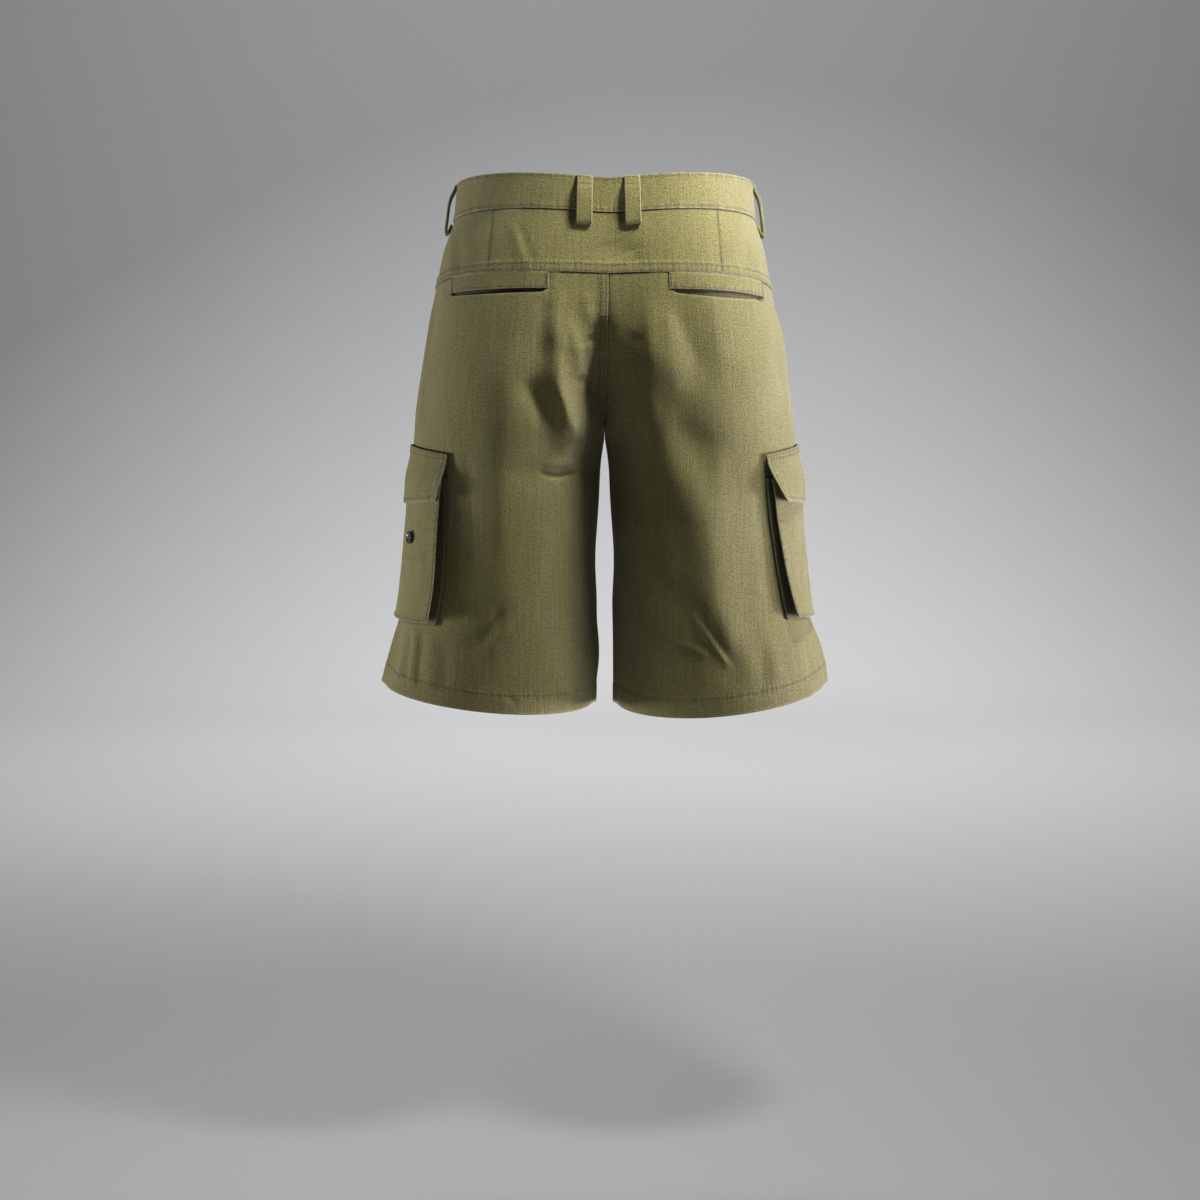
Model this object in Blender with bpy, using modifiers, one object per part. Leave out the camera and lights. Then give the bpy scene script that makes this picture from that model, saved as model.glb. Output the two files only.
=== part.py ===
"""Cargo shorts in olive cotton canvas, in the hollow form that they keep when they are worn.

Metres, +Z up. The wearer's left is +X, the back is +Y and the front is -Y. The origin is the
centre of the waist opening, half way up the waistband.

The cloth is one smooth surface, worked out from a table of level sections. A place on it is
named by side (LEFT or RIGHT), around (0 at the centre back or inseam, 1 at the side seam,
2 at the centre front or inseam) and level (the height that the section has at the side seam).
"""
import math
from collections import namedtuple
from functools import lru_cache

import bmesh
import bpy
import numpy as np
from mathutils import Matrix, Vector

MM = 0.001
LEFT, RIGHT = 1, -1
SIDES = {"left": LEFT, "right": RIGHT}

# Cloth and seams
CLOTH = 1.2 * MM
SEAM_GAP = 0.3 * MM
LAID_ON = 0.6 * MM
HEM_DEPTH = 20 * MM
HEM_CLOTH = 2.4 * MM

# Levels of the seams at the side seam
WAIST_TOP = 15 * MM
WAIST_SEAM = -23 * MM
YOKE_SEAM = -90 * MM
CROTCH = -250 * MM
HEM = -507 * MM

# Waistband, which laps over itself at the centre front
BAND_PROUD = 0.9 * MM
BAND_CLOTH = 2.4 * MM
BAND_LAP = 30 * MM
BAND_STEP = 2.9 * MM
BAND_RAMP = 22 * MM
BAND_RAMP_END = 4 * MM
BAND_UNDER_END = 2 * MM

# Welt pockets below the yoke, measured from the centre back seam
WELT_START = 59 * MM
WELT_LENGTH = 117 * MM
WELT_NOTCH = 18 * MM
WELT_SLOT = 3 * MM
WELT_PROUD = 0.6 * MM
WELT_CLOTH = 1.6 * MM
FACING_DEPTH = 46 * MM
SLOT_SAG = {"left": 1.0 * MM, "right": 3.0 * MM}
WELT_STEPS = (4, 9, 4)

# Cargo pockets, measured along the cloth from the side seam, positive towards the back
POUCH_TOP = -285 * MM
POUCH_BOTTOM = -438 * MM
POUCH_CLOTH = 1.3 * MM
GUSSET_CLOTH = 1.0 * MM
GUSSET_FOLD = 13 * MM
GUSSET_LEDGE = 3 * MM
LEDGE_PROUD = 1.0 * MM
FLAP_TOP = -254 * MM
FLAP_BOTTOM = -315 * MM
FLAP_CLOTH = 1.8 * MM
FLAP_OVERHANG = 2.5 * MM
FLAP_CLEAR = 0.9 * MM

# Belt loops, by their distance from the seam that they stand beside
LOOP_WIDTH = 15 * MM
LOOP_CLOTH = 1.6 * MM
BACK_LOOP = 24 * MM
SIDE_LOOP = 5 * MM
FRONT_LOOP = 60 * MM

# Fly and buttons
FLY_LENGTH = 142 * MM
FLY_PROUD = 1.0 * MM
FLY_WIDTH = 34 * MM
FLY_LAP = 8 * MM
FLY_STRAIGHT_SHARE = 0.75
FLY_TIP_SHARE = 0.1
WAIST_BUTTON = 17 * MM
CARGO_BUTTON = 13 * MM
BUTTON_SHANK = 0.9 * MM
BUTTON_FACETS = 20
HOLE_FACETS = 8
HOLE_SPREAD_SHARE = 0.12
HOLE_RADIUS_SHARE = 0.065
HOLE_CUTTER_LENGTH = 8 * MM
CARGO_BUTTON_LEVEL = -351 * MM
CARGO_BUTTON_PLACE = {"left": 48 * MM, "right": -40 * MM}

# One row for each level section, in millimetres. The back and the front of a section each
# run from the centre seam (or inseam), over their furthest point, to the side seam. wrap is 0
# where the cloth runs straight across the centre and 1 where it is turned round into a leg.
Section = namedtuple(
    "Section",
    "level side_x seam_x wrap seat_x seat_y back_seam_y back_seam_z "
    "belly_x belly_y front_seam_y front_seam_z",
)
SECTIONS = (
    Section(15, 153.5, 0.15, 0.00, 42, 112, 112, 16, 62, -106, -106, 9),
    Section(-23, 157.5, 0.15, 0.00, 46, 115, 115, -19, 62, -110, -110, -28),
    Section(-50, 168.5, 0.15, 0.02, 54, 121, 120, -46, 62, -114, -114, -56),
    Section(-90, 177, 0.15, 0.06, 64, 126, 123, -79, 63, -116, -115, -92),
    Section(-130, 184.5, 0.15, 0.12, 74, 128, 120, -125, 65, -117, -112, -130),
    Section(-170, 191, 0.15, 0.30, 81, 126, 109, -170, 69, -115, -101, -168),
    Section(-200, 195.5, 0.15, 0.55, 86, 122, 88, -205, 72, -112, -80, -202),
    Section(-226, 199.5, 0.15, 0.85, 89, 117, 56, -233, 78, -108, -48, -230),
    Section(-250, 202, 0.15, 1.00, 91, 112, 0, -250, 82, -105, 0, -250),
    Section(-270, 202, 3.6, 1.00, 93, 108, 0, -270, 88, -102, 0, -270),
    Section(-315, 200.5, 5.8, 1.00, 97, 102, 0, -316, 94, -97, 0, -316),
    Section(-350, 203, 8.5, 1.00, 102, 98, 0, -353, 100, -93, 0, -353),
    Section(-390, 207, 10.8, 1.00, 107, 94, 0, -396, 106, -91, 0, -396),
    Section(-430, 212.5, 12.0, 1.00, 113, 91, 0, -440, 112, -89, 0, -440),
    Section(-450, 219, 12.4, 1.00, 117, 89, 0, -462, 116, -88, 0, -462),
    Section(-480, 228, 12.5, 1.00, 120, 88, 0, -495, 120, -87, 0, -495),
    Section(-507, 235, 12.5, 1.00, 124, 87, 0, -528, 124, -86, 0, -528),
)
FULLNESS = 0.58
WAIST_TWIST = 0.033
TWIST_REACH = 150 * MM
BACK_WAVE = 6 * MM
BACK_WAVE_REACH = 200 * MM

# Where the dip of the seams' levels towards the centre changes from steep to soft
DIP_CHANGE_TOP = -100 * MM
DIP_CHANGE_REACH = 150 * MM
STEEP_DIP_POWER = 3

# How far the hem sags between its seams, and how far the side seam's end of the yoke falls
HEM_SAG = {LEFT: 10 * MM, RIGHT: 14 * MM}
HEM_SAG_POWER = 4
SIDE_FALL = {LEFT: 3 * MM, RIGHT: 12 * MM}
FALL_REACH = 50 * MM

# The largest folds, in millimetres, as lines across a view of the cloth: across is x in the
# back and front views and y in the side views. A ridge has a height, a trough a negative one.
Fold = namedtuple("Fold", "view across_1 z_1 across_2 z_2 width height")
FOLDS = (
    Fold("back", 50, -180, 30, -236, 12, 5),
    Fold("back", 67, -196, 47, -232, 13, -5),
    Fold("back", 90, -284, 18, -278, 10, -4),
    Fold("back", -75, -115, -96, -175, 17, -4.5),
    Fold("back", -46, -190, -86, -255, 21, -7),
    Fold("back", -88, -412, -131, -484, 9, -3.5),
    Fold("back", -101, -408, -142, -470, 10, 3),
    Fold("back", 107, -420, 133, -457, 12, -3),
    Fold("back", 92, -24, 81, -68, 10, 2),
    Fold("back", 4, -57, -35, -59, 14, -2),
    Fold("back", 22, -110, 13, -150, 10, 2.5),
    Fold("left", 34, -112, 58, -222, 9, -2.5),
    Fold("left", 10, -118, 22, -218, 11, 2.5),
    Fold("right", 6, -78, 10, -110, 20, -4.5),
    Fold("right", 34, -132, 56, -220, 11, 2.5),
    Fold("right", 52, -140, 76, -224, 9, -2.5),
    Fold("right", 4, -466, 8, -486, 15, 4),
    Fold("front", 16, -222, 80, -196, 12, 4),
    Fold("front", -18, -226, -74, -204, 13, 4),
    Fold("front", 40, -262, 62, -338, 13, -4.5),
    Fold("front", -44, -258, -60, -322, 12, -4),
    Fold("front", 118, -392, 136, -500, 18, 4.5),
    Fold("front", -108, -404, -128, -502, 17, 4.5),
)
VIEWS = {
    "back": Vector((0, 1, 0)),
    "front": Vector((0, -1, 0)),
    "left": Vector((1, 0, 0)),
    "right": Vector((-1, 0, 0)),
}

# A cargo pocket's back and front edges, in millimetres along the cloth from the side seam.
# The pocket hangs with its lower end turned a little to the front.
PocketEdge = namedtuple("PocketEdge", "level left_back right_back front")
POCKET_EDGES = (
    PocketEdge(-254, 101, 95, -70),
    PocketEdge(-285, 96, 90, -74),
    PocketEdge(-315, 92, 85, -77),
    PocketEdge(-360, 90, 77, -80),
    PocketEdge(-400, 88.5, 71, -83),
    PocketEdge(-438, 85, 64, -86),
)

# How far a pocket's back edge is lifted above the level that its front edge has, in millimetres
PocketLift = namedtuple("PocketLift", "level left_back right_back")
POCKET_LIFTS = (
    PocketLift(-254, -6, -6.5),
    PocketLift(-285, 1.5, 1),
    PocketLift(-315, 9, 9),
    PocketLift(-360, 8, 9),
    PocketLift(-438, 8, 12),
)

# How far a pocket's pouch and flap stand off the leg, in millimetres, down from the flap's top
PouchRise = namedtuple("PouchRise", "level middle left_back right_back front")
POUCH_RISES = (
    PouchRise(-285, 7.2, 7.2, 7.2, 7.2),
    PouchRise(-300, 8.8, 9.0, 8.6, 9.0),
    PouchRise(-315, 9.8, 10.6, 9.6, 10.6),
    PouchRise(-350, 10.4, 13.6, 10.0, 13.0),
    PouchRise(-395, 10.4, 14.2, 12.2, 13.6),
    PouchRise(-438, 10.2, 15.0, 15.0, 14.0),
)
FlapRise = namedtuple("FlapRise", "level height")
FLAP_RISES = (
    FlapRise(-254, 2.7),
    FlapRise(-264, 3.8),
    FlapRise(-275, 6.3),
    FlapRise(-285, 9.2),
    FlapRise(-300, 11.3),
    FlapRise(-315, 12.6),
)
FLAP_CORNER_LIFT = {"left": 2.5 * MM, "right": 8 * MM}
FLAP_TAPER = {"left": 3 * MM, "right": 8 * MM}
CORNER_LIFT_POWER = 1.5
EDGE_RISE_POWER = 3
EDGE_LIFT_POWER = 1.5

# Soft vertical creases in the left pouch and flap: place along the cloth, levels, size
PocketCrease = namedtuple("PocketCrease", "piece place top bottom width depth")
POCKET_CREASES = (
    PocketCrease("pouch", 40, -285, -330, 9, 3.2),
    PocketCrease("flap", 52, -272, -315, 10, 2.6),
)

# The gusset's fold from its ledge on the leg to the pouch's edge: how far in, and how far up
GussetPoint = namedtuple("GussetPoint", "inset share_up")
GUSSET_PATH = (
    GussetPoint(-GUSSET_LEDGE, 0.0),
    GussetPoint(GUSSET_FOLD / 2, 0.04),
    GussetPoint(GUSSET_FOLD, 0.5),
    GussetPoint(GUSSET_FOLD / 2, 0.96),
    GussetPoint(0.8 * MM, 1.0),
)

# Half of a button's outline, from the middle of its face, over the rim, to its underside
ButtonPoint = namedtuple("ButtonPoint", "share_out height")
BUTTON_PROFILE = (
    ButtonPoint(0.0, 1.7),
    ButtonPoint(0.58, 1.7),
    ButtonPoint(0.74, 2.6),
    ButtonPoint(0.92, 2.6),
    ButtonPoint(1.0, 1.9),
    ButtonPoint(1.0, 0.9),
    ButtonPoint(0.8, 0.0),
    ButtonPoint(0.0, 0.0),
)

# A belt loop from its tacked top to the end folded under it, as outer points in millimetres
LoopPoint = namedtuple("LoopPoint", "level height")
LOOP_PATH = (
    LoopPoint(14.5, 2.8),
    LoopPoint(9, 3.0),
    LoopPoint(2.5, 6.8),
    LoopPoint(-7, 8.4),
    LoopPoint(-18, 8.4),
    LoopPoint(-28, 7.8),
    LoopPoint(-34, 6.5),
    LoopPoint(-36.8, 4.1),
    LoopPoint(-34.6, 1.7),
    LoopPoint(-30, 1.2),
    LoopPoint(-27, 1.2),
)

CANVAS_COLOUR = (0.190, 0.180, 0.075, 1.0)
BUTTON_COLOUR = (0.035, 0.035, 0.036, 1.0)


def smooth_curve(places, values):
    """Return a smooth function through the values that never overshoots between them."""
    order = np.argsort(places)
    xs = np.asarray(places, dtype=float)[order]
    ys = np.asarray(values, dtype=float)[order]
    steps = np.diff(xs)
    rises = np.diff(ys) / steps
    slopes = np.zeros(len(xs))
    slopes[0] = rises[0]
    slopes[-1] = rises[-1]
    for k in range(1, len(xs) - 1):
        if rises[k - 1] * rises[k] > 0:
            before = 2 * steps[k] + steps[k - 1]
            after = steps[k] + 2 * steps[k - 1]
            slopes[k] = (before + after) / (before / rises[k - 1] + after / rises[k])

    def value(place):
        k = int(np.clip(np.searchsorted(xs, place) - 1, 0, len(steps) - 1))
        t = (place - xs[k]) / steps[k]
        blend = t * t * (3 - 2 * t)
        lean = t * (1 - t) * ((1 - t) * slopes[k] - t * slopes[k + 1])
        return float(ys[k] + (ys[k + 1] - ys[k]) * blend + steps[k] * lean)

    return value


def table_curve(rows, column, scale=MM):
    """Return one named column of a table as a smooth function of the level."""
    levels = [row.level * MM for row in rows]
    return smooth_curve(levels, [getattr(row, column) * scale for row in rows])


PROFILE = {name: table_curve(SECTIONS, name) for name in Section._fields[1:]}
PROFILE["wrap"] = table_curve(SECTIONS, "wrap", 1.0)
POUCH_PROFILE = {name: table_curve(POUCH_RISES, name) for name in PouchRise._fields[1:]}
FLAP_PROFILE = table_curve(FLAP_RISES, "height")
EDGE_PROFILE = {name: table_curve(POCKET_EDGES, name) for name in PocketEdge._fields[1:]}
LIFT_PROFILE = {name: table_curve(POCKET_LIFTS, name) for name in PocketLift._fields[1:]}


def ease(value):
    """Go softly from 0 to 1 as the value goes from 0 to 1."""
    t = min(max(value, 0.0), 1.0)
    return t * t * (3 - 2 * t)


def bezier_points(start, start_handle, end_handle, end, count=60):
    """Return points along one cubic curve in the plan."""
    t = np.linspace(0, 1, count)[:, None]
    corners = [np.array(p) for p in (start, start_handle, end_handle, end)]
    return (
        (1 - t) ** 3 * corners[0]
        + 3 * t * (1 - t) ** 2 * corners[1]
        + 3 * t * t * (1 - t) * corners[2]
        + t**3 * corners[3]
    )


@lru_cache(maxsize=None)
def plan_outline(face, level):
    """Return a face's section from centre seam to side seam: points and lengths so far."""
    bulge_name, seam_name = ("seat", "back_seam") if face == "back" else ("belly", "front_seam")
    side_x = PROFILE["side_x"](level)
    seam_x = PROFILE["seam_x"](level)
    wrap = PROFILE["wrap"](level)
    bulge_x = PROFILE[bulge_name + "_x"](level)
    bulge_y = PROFILE[bulge_name + "_y"](level)
    seam_y = PROFILE[seam_name + "_y"](level)
    reach_x = FULLNESS * (bulge_x - seam_x)
    reach_y = FULLNESS * (bulge_y - seam_y)
    inner = bezier_points(
        (seam_x, seam_y),
        (seam_x + (1 - wrap) * reach_x, seam_y + wrap * reach_y),
        (bulge_x - reach_x, bulge_y),
        (bulge_x, bulge_y),
    )
    outer = bezier_points(
        (bulge_x, bulge_y),
        (bulge_x + FULLNESS * (side_x - bulge_x), bulge_y),
        (side_x, FULLNESS * bulge_y),
        (side_x, 0.0),
    )
    points = np.vstack((inner, outer[1:]))
    steps = np.hypot(*np.diff(points, axis=0).T)
    return points, np.concatenate(((0.0,), np.cumsum(steps)))


def section_length(face, level):
    """Return the length of a face's section from its centre seam to the side seam."""
    return plan_outline(face, level)[1][-1]


def waist_twist(level):
    """Return how far the shorts are turned on the figure, as a shift of x for each unit of y."""
    return WAIST_TWIST * ease((level - CROTCH) / TWIST_REACH)


def keep_side(side, level, point):
    """Return a point moved back to its own side, where a fold has pushed it over the seam."""
    across = side * (point.x + waist_twist(level) * point.y)
    short = max(SEAM_GAP / 2 - across, 0.0)
    return point + Vector((side * short, 0.0, 0.0))


@lru_cache(maxsize=None)
def body_point(side, around, level):
    """Return a point of the outer surface before its folds."""
    face = "back" if around <= 1 else "front"
    share = around if around <= 1 else 2 - around
    points, lengths = plan_outline(face, level)
    run = min(max(share, 0.0), 1.0) * lengths[-1]
    x = float(np.interp(run, lengths, points[:, 0]))
    y = float(np.interp(run, lengths, points[:, 1]))
    away = 1 - share
    low = ease((DIP_CHANGE_TOP - level) / DIP_CHANGE_REACH)
    dip = (1 - low) * (1 - (1 - away) ** STEEP_DIP_POWER) + low * ease(away)
    z = level + (PROFILE[face + "_seam_z"](level) - level) * dip
    z -= HEM_SAG[side] * math.sin(math.pi * away) * (level / HEM) ** HEM_SAG_POWER
    z -= SIDE_FALL[side] * share**2 * math.exp(-(((level - YOKE_SEAM) / FALL_REACH) ** 2))
    if face == "back":
        z += BACK_WAVE * math.sin(math.pi * away) * ease(1 + level / BACK_WAVE_REACH)
    return Vector((side * x - waist_twist(level) * y, y, z))


def surface_normal(side, around, level, point_at):
    """Return the outward normal of a surface given by its point function."""
    step_around, step_level = 0.004, 1 * MM
    after = point_at(side, min(around + step_around, 2.0), level)
    before = point_at(side, max(around - step_around, 0.0), level)
    above = point_at(side, around, level + step_level)
    below = point_at(side, around, level - step_level)
    return side * (above - below).cross(after - before).normalized()


@lru_cache(maxsize=None)
def body_frame(side, around, level):
    """Return a point of the surface before its folds, with its outward normal."""
    normal = surface_normal(side, around, level, body_point)
    return body_point(side, around, level), normal


def line_distance(place, start, end):
    """Return the distance in a plane from a place to a line between two ends."""
    along = end - start
    t = min(max((place - start).dot(along) / along.length_squared, 0.0), 1.0)
    return (place - start - along * t).length


def fold_height(point, normal):
    """Return how far the folds move the cloth out at a point."""
    height = 0.0
    for fold in FOLDS:
        facing = normal.dot(VIEWS[fold.view])
        if facing <= 0:
            continue
        across = point.x if fold.view in ("back", "front") else point.y
        place = Vector((across, point.z))
        start = Vector((fold.across_1, fold.z_1)) * MM
        end = Vector((fold.across_2, fold.z_2)) * MM
        distance = line_distance(place, start, end) / (fold.width * MM)
        height += fold.height * MM * math.exp(-distance * distance) * ease(2 * facing)
    return height


@lru_cache(maxsize=None)
def cloth_point(side, around, level):
    """Return a point of the folded outer surface, kept on its own side of the centre seam."""
    point, normal = body_frame(side, around, level)
    return keep_side(side, level, point + fold_height(point, normal) * normal)


@lru_cache(maxsize=None)
def cloth_frame(side, around, level):
    """Return a point of the folded outer surface, with its outward normal."""
    normal = surface_normal(side, around, level, cloth_point)
    return cloth_point(side, around, level), normal


def even_steps(stops, counts):
    """Return the stops, with each stretch between them cut into a number of equal steps."""
    values = [stops[0]]
    for start, end, count in zip(stops, stops[1:], counts):
        values += [start + (end - start) * k / count for k in range(1, count + 1)]
    return values


def place_from_side(run, level):
    """Return around for a place that lies a run along the cloth from the side seam."""
    face = "back" if run >= 0 else "front"
    return 1 - run / section_length(face, level)


def place_from_front(run, level):
    """Return side and around for a place that lies a run to the left of the centre front."""
    return (LEFT if run >= 0 else RIGHT), 2 - abs(run) / section_length("front", level)


def add_node(name, mesh, material, collection):
    """Put a mesh in the scene as one named node."""
    mesh.materials.append(material)
    node = bpy.data.objects.new(name, mesh)
    collection.objects.link(node)
    return node


def cloth_wall(name, outer, inner, material, collection, cut_cells=()):
    """Make a closed cloth wall from rows of outer points and rows of inner points."""
    rows, columns = len(outer) - 1, len(outer[0]) - 1
    bm = bmesh.new()
    bmesh.ops.create_grid(bm, x_segments=columns, y_segments=rows, size=1.0)

    def cell_place(co):
        return (co.y + 1) / 2 * rows, (co.x + 1) / 2 * columns

    cut_faces = []
    for face in bm.faces:
        row, column = cell_place(face.calc_center_median())
        if (int(row), int(column)) in cut_cells:
            cut_faces.append(face)
    bmesh.ops.delete(bm, geom=cut_faces, context="FACES")
    kept = set(bm.verts)
    bmesh.ops.extrude_face_region(bm, geom=bm.faces[:], use_keep_orig=True)
    for vert in bm.verts:
        row, column = cell_place(vert.co)
        points = outer if vert in kept else inner
        vert.co = points[round(row)][round(column)]
    bmesh.ops.recalc_face_normals(bm, faces=bm.faces[:])
    if bm.calc_volume(signed=True) < 0:
        bmesh.ops.reverse_faces(bm, faces=bm.faces[:])
    mesh = bpy.data.meshes.new(name)
    bm.to_mesh(mesh)
    bm.free()
    mesh.shade_smooth()
    mesh.set_sharp_from_angle(angle=math.radians(45))
    return add_node(name, mesh, material, collection)


def raised(frame, height):
    """Return the point that lies a height above a surface point, along its normal."""
    return frame[0] + height * frame[1]


def panel(name, side, arounds, levels, material, collection, cut_cells=(), level_shift=None):
    """Make one cut panel between its seams. Its hem is turned up, so the wall is thicker."""
    face = "back" if arounds[-1] <= 1 else "front"
    outer, inner = [], []
    for row, level in enumerate(levels):
        trim = SEAM_GAP / 2 / section_length(face, level)
        low, high = arounds[0] + trim, arounds[-1] - trim
        thickness = HEM_CLOTH if level < HEM + HEM_DEPTH else CLOTH
        outer_row, inner_row = [], []
        for column, around in enumerate(arounds):
            shift = level_shift(row, column) if level_shift else 0.0
            frame = cloth_frame(side, min(max(around, low), high), level + shift)
            outer_row.append(raised(frame, 0))
            inner_row.append(keep_side(side, level, raised(frame, -thickness)))
        outer.append(outer_row)
        inner.append(inner_row)
    return cloth_wall(name, outer, inner, material, collection, cut_cells)


def leg_levels(top, counts):
    """Return the levels of a panel's rows from its top edge down to the turned-up hem."""
    hem_top = HEM + HEM_DEPTH
    return even_steps((top, CROTCH, hem_top + MM / 2, hem_top - MM / 2, HEM), (*counts, 1, 1))


def back_arounds():
    """Return the back panel's columns. The welt pocket's two ends lie on columns."""
    length = section_length("back", YOKE_SEAM)
    stops = (0.0, WELT_START / length, (WELT_START + WELT_LENGTH) / length, 1.0)
    return even_steps(stops, WELT_STEPS)


def back_levels():
    """Return the back panel's rows. The welt pocket's lower edge lies on the second one."""
    notch_floor = YOKE_SEAM - WELT_NOTCH
    return [YOKE_SEAM - SEAM_GAP / 2] + leg_levels(notch_floor, (10, 17))


def make_backs(material, collection):
    """Make the two back panels, each with a notch at its top for the welt pocket."""
    first, last = WELT_STEPS[0], WELT_STEPS[0] + WELT_STEPS[1]
    notch = {(0, column) for column in range(first, last)}
    for word, side in SIDES.items():

        def sag(row, column, depth=SLOT_SAG[word]):
            inside = row == 1 and first < column < last
            return -depth * math.sin(math.pi * (column - first) / (last - first)) if inside else 0.0

        panel("back_" + word, side, back_arounds(), back_levels(), material, collection, notch, sag)


def make_fronts(material, collection):
    """Make the two front panels, from the waist seam to the hem."""
    levels = leg_levels(WAIST_SEAM - SEAM_GAP / 2, (12, 15))
    arounds = even_steps((1.0, 2.0), (13,))
    for word, side in SIDES.items():
        panel("front_" + word, side, arounds, levels, material, collection)


def make_yoke(material, collection):
    """Make the one-piece back yoke, between the waist seam and the two back panels."""
    steps = back_arounds()
    stations = [(LEFT, around) for around in reversed(steps)]
    stations += [(RIGHT, around) for around in steps[1:]]
    top, bottom = WAIST_SEAM - SEAM_GAP / 2, YOKE_SEAM + SEAM_GAP / 2
    outer, inner = [], []
    for level in even_steps((top, bottom), (5,)):
        trim = SEAM_GAP / 2 / section_length("back", level)
        frames = [cloth_frame(side, min(around, 1 - trim), level) for side, around in stations]
        outer.append([raised(frame, 0) for frame in frames])
        inner.append([raised(frame, -CLOTH) for frame in frames])
    return cloth_wall("yoke_back", outer, inner, material, collection)


def make_waistband(material, collection):
    """Make the waistband, one strip round the waist whose left end laps over its right end."""
    length = section_length("front", WAIST_SEAM)
    right_end = 2 - BAND_UNDER_END / length
    ramp_start = 2 - BAND_RAMP / length
    ramp_end = 2 - BAND_RAMP_END / length
    lap_start = 2 - SEAM_GAP / 2 / length
    lap_end = 2 - BAND_LAP / length
    stations = [(RIGHT, around, 0.0) for around in even_steps((right_end, 1.0, 0.0), (12, 15))]
    stations += [(LEFT, around, 0.0) for around in even_steps((0.0, 1.0, ramp_start), (15, 11))[1:]]
    stations.append((LEFT, ramp_end, BAND_STEP))
    stations += [(RIGHT, around, BAND_STEP) for around in even_steps((lap_start, lap_end), (3,))]
    outer, inner = [], []
    for level in even_steps((WAIST_TOP, WAIST_SEAM + SEAM_GAP / 2), (3,)):
        frames = [(body_frame(side, around, level), step) for side, around, step in stations]
        outer.append([raised(frame, BAND_PROUD + step) for frame, step in frames])
        inner.append([raised(frame, BAND_PROUD - BAND_CLOTH + step) for frame, step in frames])
    return cloth_wall("waistband", outer, inner, material, collection)


def make_welt_pockets(material, collection):
    """Make each welt, which fills its notch down to a narrow slot, and the facing behind it."""
    first, last = WELT_STEPS[0], WELT_STEPS[0] + WELT_STEPS[1]
    arounds = back_arounds()
    length = section_length("back", YOKE_SEAM)
    trim = SEAM_GAP / length
    welt_arounds = list(arounds[first : last + 1])
    welt_arounds[0] += trim
    welt_arounds[-1] -= trim
    facing_arounds = arounds[first - 1 : last + 2]
    top = YOKE_SEAM - SEAM_GAP / 2
    welt_levels = even_steps((top, YOKE_SEAM - WELT_NOTCH + WELT_SLOT), (2,))
    facing_levels = [top] + [level for level in back_levels() if top > level > top - FACING_DEPTH]
    facing_face = -CLOTH - LAID_ON
    for word, side in SIDES.items():
        outer, inner = [], []
        for level in welt_levels:
            frames = [cloth_frame(side, around, level) for around in welt_arounds]
            outer.append([raised(frame, WELT_PROUD) for frame in frames])
            inner.append([raised(frame, WELT_PROUD - WELT_CLOTH) for frame in frames])
        cloth_wall("back_welt_" + word, outer, inner, material, collection)
        outer, inner = [], []
        for level in facing_levels:
            frames = [cloth_frame(side, around, level) for around in facing_arounds]
            outer.append([raised(frame, facing_face) for frame in frames])
            inner.append([raised(frame, facing_face - CLOTH) for frame in frames])
        cloth_wall("back_pocket_facing_" + word, outer, inner, material, collection)


def pocket_shares():
    """Return the columns that the pouch and the flap have in common."""
    return even_steps((-1.0, 1.0), (12,))


def pouch_levels():
    """Return the levels of the pouch's rows."""
    return even_steps((POUCH_TOP, POUCH_BOTTOM), (11,))


def pocket_middle(word, level):
    """Return the run of the pocket's middle line from the side seam, and half its width."""
    back = EDGE_PROFILE[word + "_back"](level)
    front = EDGE_PROFILE["front"](level)
    return (back + front) / 2, (back - front) / 2


def pocket_run(word, share, level, wider=0.0):
    """Return the run from the side seam for a share of the pocket, -1 front to 1 back."""
    middle, half_width = pocket_middle(word, level)
    return middle + share * (half_width + wider)


def crease_depth(piece, word, run, level):
    """Return how deep a soft crease dents a piece of the left pocket."""
    depth = 0.0
    for crease in POCKET_CREASES:
        if word == "left" and crease.piece == piece:
            start = Vector((crease.place, crease.top)) * MM
            end = Vector((crease.place, crease.bottom)) * MM
            distance = line_distance(Vector((run, level)), start, end) / (crease.width * MM)
            depth += crease.depth * MM * math.exp(-distance * distance)
    return depth


def pouch_height(word, share, level):
    """Return how far the pouch's outer face stands off the leg."""
    middle = POUCH_PROFILE["middle"](level)
    edge = POUCH_PROFILE[word + "_back" if share > 0 else "front"](level)
    height = middle + (edge - middle) * abs(share) ** EDGE_RISE_POWER
    return height - crease_depth("pouch", word, pocket_run(word, share, level), level)


def flap_height(word, share, level):
    """Return how far the flap's outer face stands off the leg, with its lower corners lifted."""
    down = (FLAP_TOP - level) / (FLAP_TOP - FLAP_BOTTOM)
    lift = FLAP_CORNER_LIFT[word if share > 0 else "left"]
    height = FLAP_PROFILE(level)
    height += lift * abs(share) ** EDGE_RISE_POWER * down**CORNER_LIFT_POWER
    height -= crease_depth("flap", word, pocket_run(word, share, level), level)
    if level <= POUCH_TOP:
        height = max(height, pouch_height(word, share, level) + FLAP_CLOTH + FLAP_CLEAR)
    return height


def pocket_point(word, share, level, height, wider=0.0):
    """Return a point that stands a height off the smooth leg, by its share of the pocket."""
    lift = LIFT_PROFILE[word + "_back"](level)
    lifted = level + lift * max(share, 0.0) ** EDGE_LIFT_POWER
    around = place_from_side(pocket_run(word, share, level, wider), lifted)
    return raised(body_frame(SIDES[word], around, lifted), height)


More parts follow.
